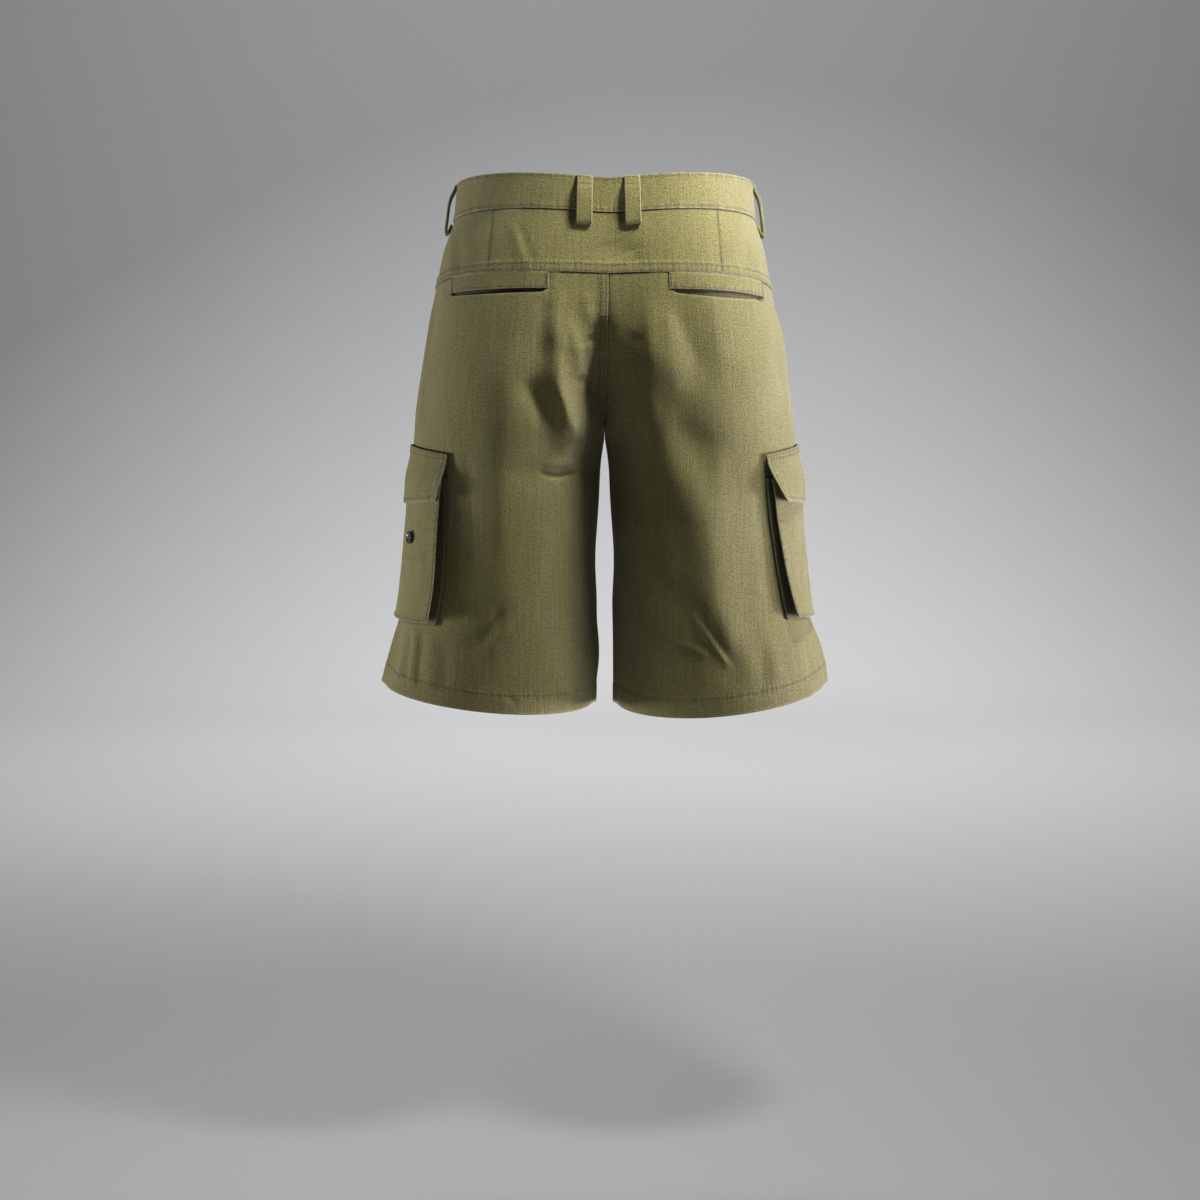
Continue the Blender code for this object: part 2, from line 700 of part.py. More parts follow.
def pouch_frame(word, run, level):
    """Return a point of the pouch's outer face, with its outward normal."""

    def face_point(run_there, level_there):
        middle, half_width = pocket_middle(word, level_there)
        share = (run_there - middle) / half_width
        return pocket_point(word, share, level_there, pouch_height(word, share, level_there))

    step = 3 * MM
    along = face_point(run - step, level) - face_point(run + step, level)
    up = face_point(run, level + step) - face_point(run, level - step)
    return face_point(run, level), SIDES[word] * up.cross(along).normalized()


def make_pouch(word, material, collection):
    """Make the pouch's outer face, a sheet that stands off the leg and is open at its top."""
    outer, inner = [], []
    for level in pouch_levels():
        pairs = [(share, pouch_height(word, share, level)) for share in pocket_shares()]
        outer.append([pocket_point(word, share, level, height) for share, height in pairs])
        pairs = [(share, height - POUCH_CLOTH) for share, height in pairs]
        inner.append([pocket_point(word, share, level, height) for share, height in pairs])
    return cloth_wall("cargo_pouch_" + word, outer, inner, material, collection)


def gusset_place(word, step, inset):
    """Return share and level on the pocket's edge, set in by a distance.

    The step goes from 0 to 1 down the front edge, to 2 along the bottom and to 3 up the back.
    """
    bottom = POUCH_BOTTOM + inset
    share = 1 - inset / pocket_middle(word, bottom)[1]
    if step <= 1:
        return -share, POUCH_TOP + step * (bottom - POUCH_TOP)
    if step <= 2:
        return share * (2 * step - 3), bottom
    return share, bottom + (step - 2) * (POUCH_TOP - bottom)


def make_gusset(word, material, collection):
    """Make the bellows gusset, folded inwards between the leg and the pouch's edge."""
    half = GUSSET_CLOTH / 2
    low, high = LEDGE_PROUD + half, POUCH_CLOTH + SEAM_GAP + half
    outer, inner = [], []
    for step in even_steps((0.0, 1.0, 2.0, 3.0), (9, 10, 9)):
        centres = []
        for point in GUSSET_PATH:
            share, level = gusset_place(word, step, point.inset)
            span = pouch_height(word, share, level) - low - high
            centres.append(Vector((point.inset, low + point.share_up * span)))
        outer_row, inner_row = [], []
        for k, centre in enumerate(centres):
            along = centres[min(k + 1, len(centres) - 1)] - centres[max(k - 1, 0)]
            along.normalize()
            shift = half * Vector((-along.y, along.x))
            for row, place in ((outer_row, centre - shift), (inner_row, centre + shift)):
                share, level = gusset_place(word, step, place.x)
                row.append(pocket_point(word, share, level, place.y))
        outer.append(outer_row)
        inner.append(inner_row)
    return cloth_wall("cargo_gusset_" + word, outer, inner, material, collection)


def make_flap(word, material, collection):
    """Make the unfastened flap, sewn along its top and standing off the pouch below."""
    outer, inner = [], []
    levels = even_steps((FLAP_TOP, POUCH_TOP), (3,)) + pouch_levels()[1:2] + [FLAP_BOTTOM]
    for level in levels:
        down = (FLAP_TOP - level) / (FLAP_TOP - FLAP_BOTTOM)
        wider = FLAP_OVERHANG - FLAP_TAPER[word] * down**2
        outer_row, inner_row = [], []
        for share in pocket_shares():
            height = flap_height(word, share, level)
            outer_row.append(pocket_point(word, share, level, height, wider))
            inner_row.append(pocket_point(word, share, level, height - FLAP_CLOTH, wider))
        outer.append(outer_row)
        inner.append(inner_row)
    return cloth_wall("cargo_flap_" + word, outer, inner, material, collection)


def make_belt_loop(name, side, around, material, collection):
    """Make one belt loop, with its lower end folded under it."""
    points = [Vector((point.level, point.height)) * MM for point in LOOP_PATH]
    face = "back" if around <= 1 else "front"
    outer, inner = [], []
    for k, point in enumerate(points):
        along = points[min(k + 1, len(points) - 1)] - points[max(k - 1, 0)]
        along.normalize()
        under = point + LOOP_CLOTH * Vector((-along.y, along.x))
        outer_row, inner_row = [], []
        for share in (-0.5, 0.0, 0.5):
            step = share * LOOP_WIDTH / section_length(face, WAIST_SEAM)
            for row, place in ((outer_row, point), (inner_row, under)):
                row.append(raised(body_frame(side, around + step, place.x), place.y))
        outer.append(outer_row)
        inner.append(inner_row)
    return cloth_wall(name, outer, inner, material, collection)


def make_belt_loops(material, collection):
    """Make the three loops of each side: beside the centre back, the side seam and the fly."""
    back, front = section_length("back", WAIST_SEAM), section_length("front", WAIST_SEAM)
    places = {"back": BACK_LOOP / back, "side": 1 - SIDE_LOOP / back, "front": 2 - FRONT_LOOP / front}
    for place, around in places.items():
        for word, side in SIDES.items():
            make_belt_loop(f"belt_loop_{place}_{word}", side, around, material, collection)


def make_fly(material, collection):
    """Make the fly placket, the doubled front edge that laps over the closed fly."""
    outer, inner = [], []
    for down in even_steps((0.0, FLY_STRAIGHT_SHARE, 1.0), (7, 4)):
        level = WAIST_SEAM - SEAM_GAP / 2 - down * FLY_LENGTH
        rounding = max(down - FLY_STRAIGHT_SHARE, 0.0) / (1 - FLY_STRAIGHT_SHARE)
        left_edge = FLY_WIDTH * max(math.sqrt(max(1 - rounding**2, 0.0)), FLY_TIP_SHARE)
        outer_row, inner_row = [], []
        for run in even_steps((-FLY_LAP, 0.0, left_edge), (1, 4)):
            side, around = place_from_front(run, level)
            frame = cloth_frame(side, around, level)
            outer_row.append(raised(frame, FLY_PROUD + CLOTH))
            inner_row.append(raised(frame, FLY_PROUD))
        outer.append(outer_row)
        inner.append(inner_row)
    return cloth_wall("fly_placket", outer, inner, material, collection)


def make_button(name, diameter, place, normal, material, collection):
    """Make a four-hole button, turned round its axis and set on the cloth."""
    outline = [(point.share_out * diameter / 2, 0.0, point.height * MM) for point in BUTTON_PROFILE]
    mesh = bpy.data.meshes.new(name)
    links = [(k, k + 1) for k in range(len(outline) - 1)]
    mesh.from_pydata(outline, links, [])
    button = add_node(name, mesh, material, collection)
    turn = button.modifiers.new("turn", "SCREW")
    turn.steps = BUTTON_FACETS
    turn.render_steps = BUTTON_FACETS
    turn.use_merge_vertices = True
    turn.merge_threshold = SEAM_GAP / 30
    turned = normal.to_track_quat("Z", "Y").to_matrix().to_4x4()
    button.matrix_world = Matrix.Translation(place) @ turned
    return button


def make_hole_cutter(button, diameter, cutters):
    """Cut the four thread holes through a button."""
    spread = HOLE_SPREAD_SHARE * diameter
    radius = HOLE_RADIUS_SHARE * diameter
    bm = bmesh.new()
    for x, y in ((1, 1), (1, -1), (-1, 1), (-1, -1)):
        bmesh.ops.create_cone(
            bm,
            segments=HOLE_FACETS,
            radius1=radius,
            radius2=radius,
            depth=HOLE_CUTTER_LENGTH,
            cap_ends=True,
            matrix=Matrix.Translation((x * spread, y * spread, 0.0)),
        )
    mesh = bpy.data.meshes.new(button.name + "_holes")
    bm.to_mesh(mesh)
    bm.free()
    cutter = bpy.data.objects.new(mesh.name, mesh)
    cutters.objects.link(cutter)
    cutter.matrix_world = button.matrix_world.copy()
    cutter.hide_render = True
    cutter.display_type = "WIRE"
    cut = button.modifiers.new("holes", "BOOLEAN")
    cut.object = cutter
    cut.operation = "DIFFERENCE"


def make_buttons(material, collection, cutters):
    """Make the waist button on the band's lap, and one button on each cargo pouch."""
    level = (WAIST_TOP + WAIST_SEAM) / 2
    side, around = place_from_front(-BAND_LAP / 2, level)
    frame = body_frame(side, around, level)
    place = raised(frame, BAND_PROUD + BAND_STEP + SEAM_GAP)
    button = make_button("waist_button", WAIST_BUTTON, place, frame[1], material, collection)
    make_hole_cutter(button, WAIST_BUTTON, cutters)
    for word in SIDES:
        name = "cargo_button_" + word
        frame = pouch_frame(word, CARGO_BUTTON_PLACE[word], CARGO_BUTTON_LEVEL)
        place = raised(frame, BUTTON_SHANK)
        button = make_button(name, CARGO_BUTTON, place, frame[1], material, collection)
        make_hole_cutter(button, CARGO_BUTTON, cutters)


def make_material(name, colour, roughness):
    """Return a plain material with one colour and roughness."""
    material = bpy.data.materials.new(name)
    material.use_nodes = True
    shader = material.node_tree.nodes["Principled BSDF"]
    shader.inputs["Base Color"].default_value = colour
    shader.inputs["Roughness"].default_value = roughness
    shader.inputs["Metallic"].default_value = 0.0
    return material


def make_collection(name):
    """Return a new collection in the scene."""
    collection = bpy.data.collections.new(name)
    bpy.context.scene.collection.children.link(collection)
    return collection


def main():
    """Clear the scene and make every piece of the shorts."""
    for old in list(bpy.data.objects):
        bpy.data.objects.remove(old, do_unlink=True)
    shorts = make_collection("cargo_shorts")
    cutters = make_collection("cutters")
    canvas = make_material("olive_canvas", CANVAS_COLOUR, 0.9)
    dark_plastic = make_material("dark_plastic", BUTTON_COLOUR, 0.35)
    make_backs(canvas, shorts)
    make_fronts(canvas, shorts)
    make_yoke(canvas, shorts)
    make_waistband(canvas, shorts)
    make_welt_pockets(canvas, shorts)
    for word in SIDES:
        make_pouch(word, canvas, shorts)
        make_gusset(word, canvas, shorts)
        make_flap(word, canvas, shorts)
    make_belt_loops(canvas, shorts)
    make_fly(canvas, shorts)
    make_buttons(dark_plastic, shorts, cutters)


main()
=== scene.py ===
# %% [markdown]
# Cargo shorts in olive canvas
#
# This lesson dresses a plain solid model of a pair of shorts so that it looks like the real,
# worn garment seen from behind. The solid model gives every sewn piece its place. Each step
# below says what the piece is, how it could be made, and why one way was chosen.

# %% Tools and the solid model
import math
import random
from collections import namedtuple

import bmesh
import bpy
import numpy as np
from mathutils import Matrix, Vector
from mathutils.bvhtree import BVHTree
from mathutils.kdtree import KDTree


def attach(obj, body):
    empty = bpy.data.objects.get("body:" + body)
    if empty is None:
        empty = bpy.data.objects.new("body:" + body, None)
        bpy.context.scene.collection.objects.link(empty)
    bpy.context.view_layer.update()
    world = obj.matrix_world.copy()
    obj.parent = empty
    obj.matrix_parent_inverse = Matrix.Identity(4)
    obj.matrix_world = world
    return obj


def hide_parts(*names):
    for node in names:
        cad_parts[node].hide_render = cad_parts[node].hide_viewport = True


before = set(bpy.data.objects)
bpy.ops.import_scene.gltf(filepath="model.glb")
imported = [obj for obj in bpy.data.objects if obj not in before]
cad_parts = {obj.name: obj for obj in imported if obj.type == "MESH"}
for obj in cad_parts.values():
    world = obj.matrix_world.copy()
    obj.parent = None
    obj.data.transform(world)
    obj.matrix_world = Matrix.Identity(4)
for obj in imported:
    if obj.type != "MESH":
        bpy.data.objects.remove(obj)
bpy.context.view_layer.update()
MM = 0.001
WAIST_SEAM = -23 * MM

# %% [markdown]
# The camera stands behind the garment, a little above its middle, and looks slightly down.
# A long lens keeps the two legs the same size, as a shop's photographer would.

# %% Camera
CAMERA_PLACE = (0.0048, 2.4, -0.157)
LOOKS_DOWN = 6.25
bpy.ops.object.camera_add(
    location=CAMERA_PLACE, rotation=(math.radians(90 - LOOKS_DOWN), 0.0, math.radians(180))
)
camera = bpy.context.object
camera.data.sensor_width = 36
camera.data.lens = 67.92
bpy.context.scene.camera = camera
print("Lens:", camera.data.lens, "mm")

# %% [markdown]
# Operators act on whatever is selected, so two small helpers choose exactly one object and
# run an operator in edit mode. They keep the later cells short.


# %% Helpers for selecting and editing
bpy.context.scene.tool_settings.mesh_select_mode = (False, False, True)


def pick(*objects):
    """Select these objects alone, and make the first one active."""
    bpy.ops.object.select_all(action="DESELECT")
    for item in objects:
        item.select_set(True)
    bpy.context.view_layer.objects.active = objects[0]


def edit(item, *steps, select="SELECT"):
    """Run edit-mode steps on an object. With select None, what is selected stays selected."""
    pick(item)
    bpy.ops.object.mode_set(mode="EDIT")
    if select:
        bpy.ops.mesh.select_all(action=select)
    for step in steps:
        step()
    bpy.ops.object.mode_set(mode="OBJECT")


def smooth(item):
    """Shade an object softly."""
    pick(item)
    bpy.ops.object.shade_smooth()


def add_object(name, mesh):
    """Return a new object with a mesh, linked to the scene and picked."""
    item = bpy.data.objects.new(name, mesh)
    bpy.context.scene.collection.objects.link(item)
    pick(item)
    return item


def apply_modifier(item, kind, **settings):
    """Add a modifier, set it and apply it."""
    pick(item)
    modifier = item.modifiers.new(kind.lower(), kind)
    for key, value in settings.items():
        setattr(modifier, key, value)
    bpy.ops.object.modifier_apply(modifier=modifier.name)


def points_of(mesh):
    """Return a mesh's points as rows of three numbers."""
    points = np.zeros(len(mesh.vertices) * 3)
    mesh.vertices.foreach_get("co", points)
    return points.reshape(-1, 3)


def normals_of(mesh):
    """Return a mesh's vertex normals as rows of three numbers."""
    normals = np.zeros(len(mesh.vertices) * 3)
    mesh.vertex_normals.foreach_get("vector", normals)
    return normals.reshape(-1, 3)


def move_points(mesh, points):
    """Put a mesh's points at new places."""
    mesh.vertices.foreach_set("co", points.ravel())
    mesh.update()


# %% [markdown]
# A sewn piece of the solid model is a thin closed wall. The real piece is one flat cut of
# cloth, so only the wall's outer face is copied. The wall's rim turns through a right angle,
# so a walk over the faces that stops at sharp edges finds the outer face.


# %% Copying the outer face of a wall
def copy_node(node, name):
    """Return a new object with a merged copy of a solid's mesh."""
    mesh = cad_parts[node].data.copy()
    mesh.materials.clear()
    piece = add_object(name, mesh)
    bpy.ops.mesh.customdata_custom_splitnormals_clear()
    edit(piece, lambda: bpy.ops.mesh.remove_doubles(threshold=0.01 * MM))
    return piece


SHARP = math.radians(50)


def select_all_but_outer_face(piece):
    """Select every face that isn't part of the wall's outer side."""
    bm = bmesh.new()
    bm.from_mesh(piece.data)
    unseen, best, best_score = set(bm.faces), set(), 0.0
    while unseen:
        island, walk = set(), [unseen.pop()]
        while walk:
            face = walk.pop()
            island.add(face)
            for edge in face.edges:
                if edge.calc_face_angle(math.pi) < SHARP:
                    near = [other for other in edge.link_faces if other in unseen]
                    unseen.difference_update(near)
                    walk.extend(near)
        score = sum(
            face.calc_area() * face.normal.xy.dot(face.calc_center_median().xy) for face in island
        )
        if score > best_score:
            best, best_score = island, score
    for face in bm.faces:
        face.select_set(face not in best)
    bm.select_flush_mode()
    bm.to_mesh(piece.data)
    bm.free()


def outer_sheet(node, name):
    """Return the outer side of a solid's wall as an open sheet of four-sided faces."""
    piece = copy_node(node, name)
    select_all_but_outer_face(piece)
    edit(piece, lambda: bpy.ops.mesh.delete(type="FACE"), select=None)
    angle = math.radians(80)
    edit(
        piece,
        lambda: bpy.ops.mesh.tris_convert_to_quads(
            face_threshold=angle, shape_threshold=angle, topology_influence=1.0
        ),
    )
    return piece


CLOTH_NODES = ["waistband", "yoke_back", "fly_placket"]
for word in ("left", "right"):
    for piece_name in ("back", "front", "back_welt", "back_pocket_facing", "cargo_pouch", "cargo_flap"):
        CLOTH_NODES.append(f"{piece_name}_{word}")
sheets = {node: outer_sheet(node, node + "_cloth") for node in CLOTH_NODES}
for node, sheet in sheets.items():
    sides = [len(face.vertices) for face in sheet.data.polygons]
    print(node, sides.count(4), "quads,", sides.count(3), "triangles")

# %% [markdown]
# Cloth is cut flat, so each sheet is unwrapped into its pattern: the flat shape that a maker
# would cut. The pattern is kept as a UV map in metres, with up as up, so that the weave, the
# seams and the rows of stitches can be laid out on it as on a cutting table. The unwrap that
# stretches least is chosen, because canvas hardly stretches.


# %% Flattening a sheet into its pattern
def corner_numbers(mesh):
    """Return the vertex of each face corner, and the corner's place in the pattern."""
    corners = np.zeros(len(mesh.loops), dtype=int)
    mesh.loops.foreach_get("vertex_index", corners)
    places = np.zeros(len(mesh.loops) * 2)
    mesh.uv_layers["pattern"].uv.foreach_get("vector", places)
    return corners, places.reshape(-1, 2)


def flat_area(mesh, places):
    """Return the area of all faces in the pattern."""
    area = 0.0
    for face in mesh.polygons:
        u, v = places[list(face.loop_indices)].T
        area += abs(np.dot(u, np.roll(v, -1)) - np.dot(v, np.roll(u, -1))) / 2
    return area


def flatten(piece):
    """Unwrap a sheet in metres with its grain upright, and return its cut: width, length, area."""
    mesh = piece.data
    while mesh.uv_layers:
        mesh.uv_layers.remove(mesh.uv_layers[0])
    mesh.uv_layers.new(name="pattern")
    edit(
        piece,
        lambda: bpy.ops.uv.unwrap(
            method="MINIMUM_STRETCH", iterations=40, margin=0.0, correct_aspect=False
        ),
    )
    corners, places = corner_numbers(mesh)
    heights = points_of(mesh)[corners, 2]
    slope = np.linalg.lstsq(np.c_[places, np.ones(len(places))], heights, rcond=None)[0][:2]
    up = slope / np.hypot(*slope)
    places = np.c_[places @ (up[1], -up[0]), places @ up]
    cloth_area = sum(face.area for face in mesh.polygons)
    places = places * math.sqrt(cloth_area / flat_area(mesh, places))
    places = places - (places.min(axis=0) + places.max(axis=0)) / 2
    mesh.uv_layers["pattern"].uv.foreach_set("vector", places.ravel())
    width, length = np.ptp(places, axis=0)
    return float(width), float(length), cloth_area


cuts = {node: flatten(sheet) for node, sheet in sheets.items()}
for node, (width, length, area) in cuts.items():
    print(f"{node}: {width / MM:.0f} x {length / MM:.0f} mm, {area / width / length:.2f} full")

# %% [markdown]
# The coarse sheets are then subdivided. Subdivision surfaces turn the flat facets into soft
# cloth without changing where it hangs, which a sculpted or simulated sheet could not promise.

# %% Subdividing the sheets
LEVELS = {"back_welt": 4, "back_pocket_facing": 2}


def subdivide(piece, levels):
    """Smooth a sheet, and keep its corners where they are."""
    apply_modifier(
        piece,
        "SUBSURF",
        levels=levels,
        render_levels=levels,
        boundary_smooth="PRESERVE_CORNERS",
        uv_smooth="PRESERVE_BOUNDARIES",
    )


def word_of(node):
    """Return a node's name without its side."""
    return node.removesuffix("_left").removesuffix("_right")


for node, sheet in sheets.items():
    subdivide(sheet, LEVELS.get(word_of(node), 3))
print("Faces in the sheets:", sum(len(sheet.data.polygons) for sheet in sheets.values()))

# %% [markdown]
# Seams and stitches run at a fixed distance from a cut edge. A Pattern keeps a fine sheet
# together with its flat shape, measures how far each point is from an edge, and carries a
# line that is drawn on the flat shape back onto the hanging cloth.


# %% Working on the pattern
class Pattern:
    """A fine sheet and its flat pattern."""

    def __init__(self, piece):
        mesh = piece.data
        corners, places = corner_numbers(mesh)
        self.piece = piece
        self.points = points_of(mesh)
        self.normals = normals_of(mesh)
        self.flat = np.zeros((len(self.points), 2))
        self.flat[corners] = places
        mesh.calc_loop_triangles()
        self.triangles = [tuple(triangle.vertices) for triangle in mesh.loop_triangles]
        self.tree = BVHTree.FromPolygons([(u, v, 0.0) for u, v in self.flat], self.triangles)
        self.follow_rim(mesh)

    def follow_rim(self, mesh, samples=4):
        """Walk once round the sheet's rim and keep close samples of it, the first at each vertex."""
        bm = bmesh.new()
        bm.from_mesh(mesh)
        after = {}
        for edge in bm.edges:
            if edge.is_boundary:
                loop = edge.link_loops[0]
                after[loop.vert.index] = loop.link_loop_next.vert.index
        bm.free()
        rim = [min(after)]
        while after[rim[-1]] != rim[0]:
            rim.append(after[rim[-1]])
        rim = np.array(rim)
        self.rim_vertices, self.samples = rim, samples
        share = np.arange(samples)[None, :, None] / samples

        def spread(values):
            here, then = values[rim][:, None], values[np.roll(rim, -1)][:, None]
            return (here + (then - here) * share).reshape(len(rim) * samples, -1)

        self.rim = spread(self.flat)
        self.rim_points = spread(self.points)
        along = np.roll(self.rim, -2, axis=0) - np.roll(self.rim, 2, axis=0)
        self.outward = np.c_[along[:, 1], -along[:, 0]]
        self.outward /= np.linalg.norm(self.outward, axis=1)[:, None]
        self.rim_tree = near_tree(self.rim)

    def on_side(self, sides, where=None):
        """Return which samples of the rim face these sides of the pattern."""
        across = abs(self.outward[:, 0]) > abs(self.outward[:, 1])
        facing = {
            "right": across & (self.outward[:, 0] > 0),
            "left": across & (self.outward[:, 0] < 0),
            "top": ~across & (self.outward[:, 1] > 0),
            "bottom": ~across & (self.outward[:, 1] < 0),
        }
        chosen = np.any([facing[side] for side in sides.split()], axis=0)
        if where:
            chosen &= np.array([bool(where(*point)) for point in self.rim_points])
        return chosen

    def distance(self, sides, where=None):
        """Return how far every point is from these sides, in the pattern."""
        tree = near_tree(self.rim[self.on_side(sides, where)])
        return np.array([tree.find((u, v, 0.0))[2] for u, v in self.flat])

    def row(self, sides, inset, where=None):
        """Return the line that runs inside these sides at a distance, as places in the pattern."""
        line = self.rim - inset * self.outward
        clear = [self.rim_tree.find((u, v, 0.0))[2] > 0.97 * inset for u, v in line]
        kept = np.flatnonzero(self.on_side(sides, where) & np.array(clear))
        gaps = np.diff(kept, append=kept[0] + len(line))
        start = (int(np.argmax(gaps)) + 1) % len(kept)
        return line[np.roll(kept, -start)]

    def on_cloth(self, place):
        """Return the point of the cloth for a place in the pattern, and the cloth's normal."""
        found, _, number, _ = self.tree.find_nearest((place[0], place[1], 0.0))
        corners = list(self.triangles[number])
        (a, b, c) = self.flat[corners]
        matrix = np.array([[a[0] - c[0], b[0] - c[0]], [a[1] - c[1], b[1] - c[1]]])
        first, second = np.linalg.solve(matrix, np.array(found.xy) - c)
        shares = np.array([first, second, 1 - first - second])
        return Vector(shares @ self.points[corners]), Vector(shares @ self.normals[corners])


def near_tree(places):
    """Return a tree that finds the nearest of some places in the pattern."""
    tree = KDTree(len(places))
    for number, (u, v) in enumerate(places):
        tree.insert((u, v, 0.0), number)
    tree.balance()
    return tree


patterns = {node: Pattern(sheet) for node, sheet in sheets.items()}
print("Points round the left back panel's rim:", len(patterns["back_left"].rim))

# %% [markdown]
# Worn canvas keeps creases: soft troughs where it hangs off the hips and pinched ridges where
# the legs bend. They are listed, each as a line across one view of the garment, in
# millimetres. A simulation would make other folds than these, so the points are moved directly.
# The broad forms, such as the round of a leg and the hollow of the seat, move the cloth
# straight out or in, so that two panels which meet in a hollow stay together.

# %% Creases of the worn cloth
Crease = namedtuple("Crease", "view line width height")
VIEWS = {"back": (0, 1, 0), "front": (0, -1, 0), "left": (1, 0, 0), "right": (-1, 0, 0)}


def seen_from(view, *rows):
    """Return the creases of one view. A row gives width, height and the points of its line."""
    return [Crease(view, line, width, height) for width, height, *line in rows]


CREASES = [
    *seen_from(
        "back",
        (1.8, -0.5, (112.5, -26), (117, -72)),
        (1.8, -0.5, (-113.5, -26), (-117, -74)),
        (5, 1.3, (94.7, -21), (80.6, -69.6)),
        (5, -0.9, (86, -30), (72, -70)),
        (16, -2.2, (-6, -46), (-14, -66)),
        (8, -1.0, (-26, -50), (-32, -72)),
        (6, 1.6, (20, -96), (17, -118), (9, -134)),
        (6, 3.0, (33, -128), (27, -160), (24, -196)),
        (7, -1.6, (40, -150), (36, -190)),
        (4, -1.6, (11, -142), (24, -150)),
        (4, -2.6, (30, -190), (22, -184), (14, -196)),
        (8, 1.2, (47, -96), (52, -150)),
        (7, -0.9, (60, -100), (64, -170)),
        (5, 3.4, (46, -190), (38, -214), (32, -240)),
        (9, -3.4, (84, -184), (68, -206), (52, -238), (44, -256)),
        (2.6, -2.4, (68, -279), (48, -284), (26, -281)),
        (6, 1.4, (64, -269), (30, -271)),
        (8, 1.0, (76, -190), (66, -236)),
        (7, 1.4, (-42, -100), (-46, -150), (-47, -240)),
        (7, -1.8, (-34, -138), (-20, -162)),
        (7, -1.2, (-74, -116), (-84, -146), (-95, -172)),
        (8, 0.9, (-62, -118), (-70, -150)),
        (10, 0.9, (-108, -104), (-118, -172)),
        (3.2, 1.9, (-89, -424), (-104, -445), (-130, -482)),
        (3.2, -1.7, (-95, -410), (-108, -435), (-127, -468)),
        (5, 1.3, (-76, -456), (-92, -461), (-108, -468)),
        (3, 1.8, (-14, -380), (-24, -411), (-35, -467)),
        (5, -1.8, (103, -418), (120, -440), (136, -462)),
        (5, 1.0, (94, -430), (108, -448), (120, -466)),
        (3, -0.8, (100, -510), (90, -520)),
        (7, 1.0, (150, -262), (148, -420)),
        (6, -0.8, (138, -250), (136, -400)),
        (4, 1.4, (196, -440), (203, -506)),
        (4, -1.3, (189, -444), (195, -506)),
        (5, 1.1, (178, -446), (182, -510)),
        (6, -1.0, (164, -452), (166, -508)),
        (7, 1.1, (-172, -450), (-180, -498)),
        (6, -0.9, (-160, -462), (-166, -505)),
        (4, 0.8, (-150, -398), (-166, -404)),
        (12, 1.2, (60, -330), (70, -400)),
        (12, 1.1, (-62, -330), (-70, -400)),
        (12, 1.2, (-112, -250), (-122, -340)),
        (12, 1.1, (100, -262), (110, -350)),
        (5, 1.3, (159, -30), (156, -84)),
        (5, -0.9, (149, -34), (147, -86)),
        (6, 1.0, (-158, -34), (-156, -88)),
    ),
    *seen_from(
        "left",
        (7, 1.5, (20, -96), (34, -170), (46, -236)),
        (8, -1.4, (-8, -100), (4, -190)),
        (9, 1.5, (-34, -60), (-26, -150), (-30, -240)),
        (9, -1.2, (-60, -120), (-66, -230)),
        (9, 4.0, (0, -380), (0, -580)),
        (6, 1.4, (40, -448), (46, -505)),
        (6, -1.3, (22, -450), (24, -508)),
        (7, 1.3, (-12, -446), (-16, -506)),
        (7, -1.1, (-44, -452), (-52, -508)),
    ),
    *seen_from(
        "right",
        (9, 4.0, (0, -380), (0, -580)),
        (7, 1.4, (26, -110), (42, -180), (54, -240)),
        (8, -1.3, (0, -112), (10, -200)),
        (9, 1.4, (-30, -80), (-28, -160), (-36, -240)),
        (8, -1.2, (-62, -110), (-60, -226)),
        (6, -1.3, (34, -452), (40, -504)),
        (6, 1.4, (14, -448), (18, -506)),
        (7, -1.2, (-20, -450), (-22, -508)),
        (7, 1.2, (-50, -446), (-58, -504)),
    ),
    *seen_from(
        "front",
        (6, 1.8, (14, -216), (46, -206), (84, -186)),
        (6, -1.6, (20, -236), (56, -228), (92, -214)),
        (6, -1.3, (12, -196), (40, -178), (64, -156)),
        (6, 1.7, (-16, -220), (-50, -210), (-82, -192)),
        (6, -1.5, (-18, -238), (-54, -232), (-88, -222)),
        (6, -1.2, (-12, -200), (-44, -184), (-60, -164)),
        (10, 1.4, (96, -70), (108, -150), (112, -220)),
        (9, -1.2, (124, -80), (134, -170)),
        (10, 1.4, (-94, -74), (-104, -140), (-116, -224)),
        (9, -1.2, (-124, -84), (-130, -180)),
        (9, -1.0, (52, -60), (58, -120)),
        (9, -1.0, (-50, -64), (-60, -118)),
        (9, 1.5, (72, -300), (80, -380), (78, -440)),
        (9, -1.2, (100, -280), (112, -360)),
        (9, 1.4, (-70, -310), (-84, -386), (-80, -450)),
        (9, -1.2, (-102, -290), (-106, -372)),
        (8, -1.4, (150, -400), (164, -506)),
        (7, 1.3, (176, -440), (186, -506)),
        (8, -1.3, (92, -452), (94, -520)),
        (8, -1.3, (-148, -410), (-160, -508)),
        (7, 1.2, (-174, -446), (-184, -508)),
        (8, -1.2, (-90, -456), (-88, -520)),
        (8, 1.1, (40, -440), (36, -500)),
        (8, 1.1, (-44, -440), (-38, -500)),
    ),
]
FORMS = [
    *seen_from(
        "back",
        (34, 6.0, (108, -95), (106, -300), (98, -500)),
        (15, -7.0, (18, -258), (18, -500)),
        (28, 9.0, (-52, -98), (-54, -240), (-98, -330), (-120, -450), (-122, -500)),
        (15, -7.0, (-12, -258), (-18, -500)),
        (24, -23.0, (8, -152), (4, -200), (-9, -240), (-12, -350)),
        (11, -10.0, (8, -118), (6, -170), (2, -230)),
        (13, 7.0, (46, -112), (43, -200), (36, -262)),
    ),
    *seen_from(
        "front",
        (32, 3.5, (96, -240), (92, -500)),
        (32, 3.5, (-92, -240), (-94, -500)),
        (16, -4.0, (4, -190), (2, -244)),
    ),
]
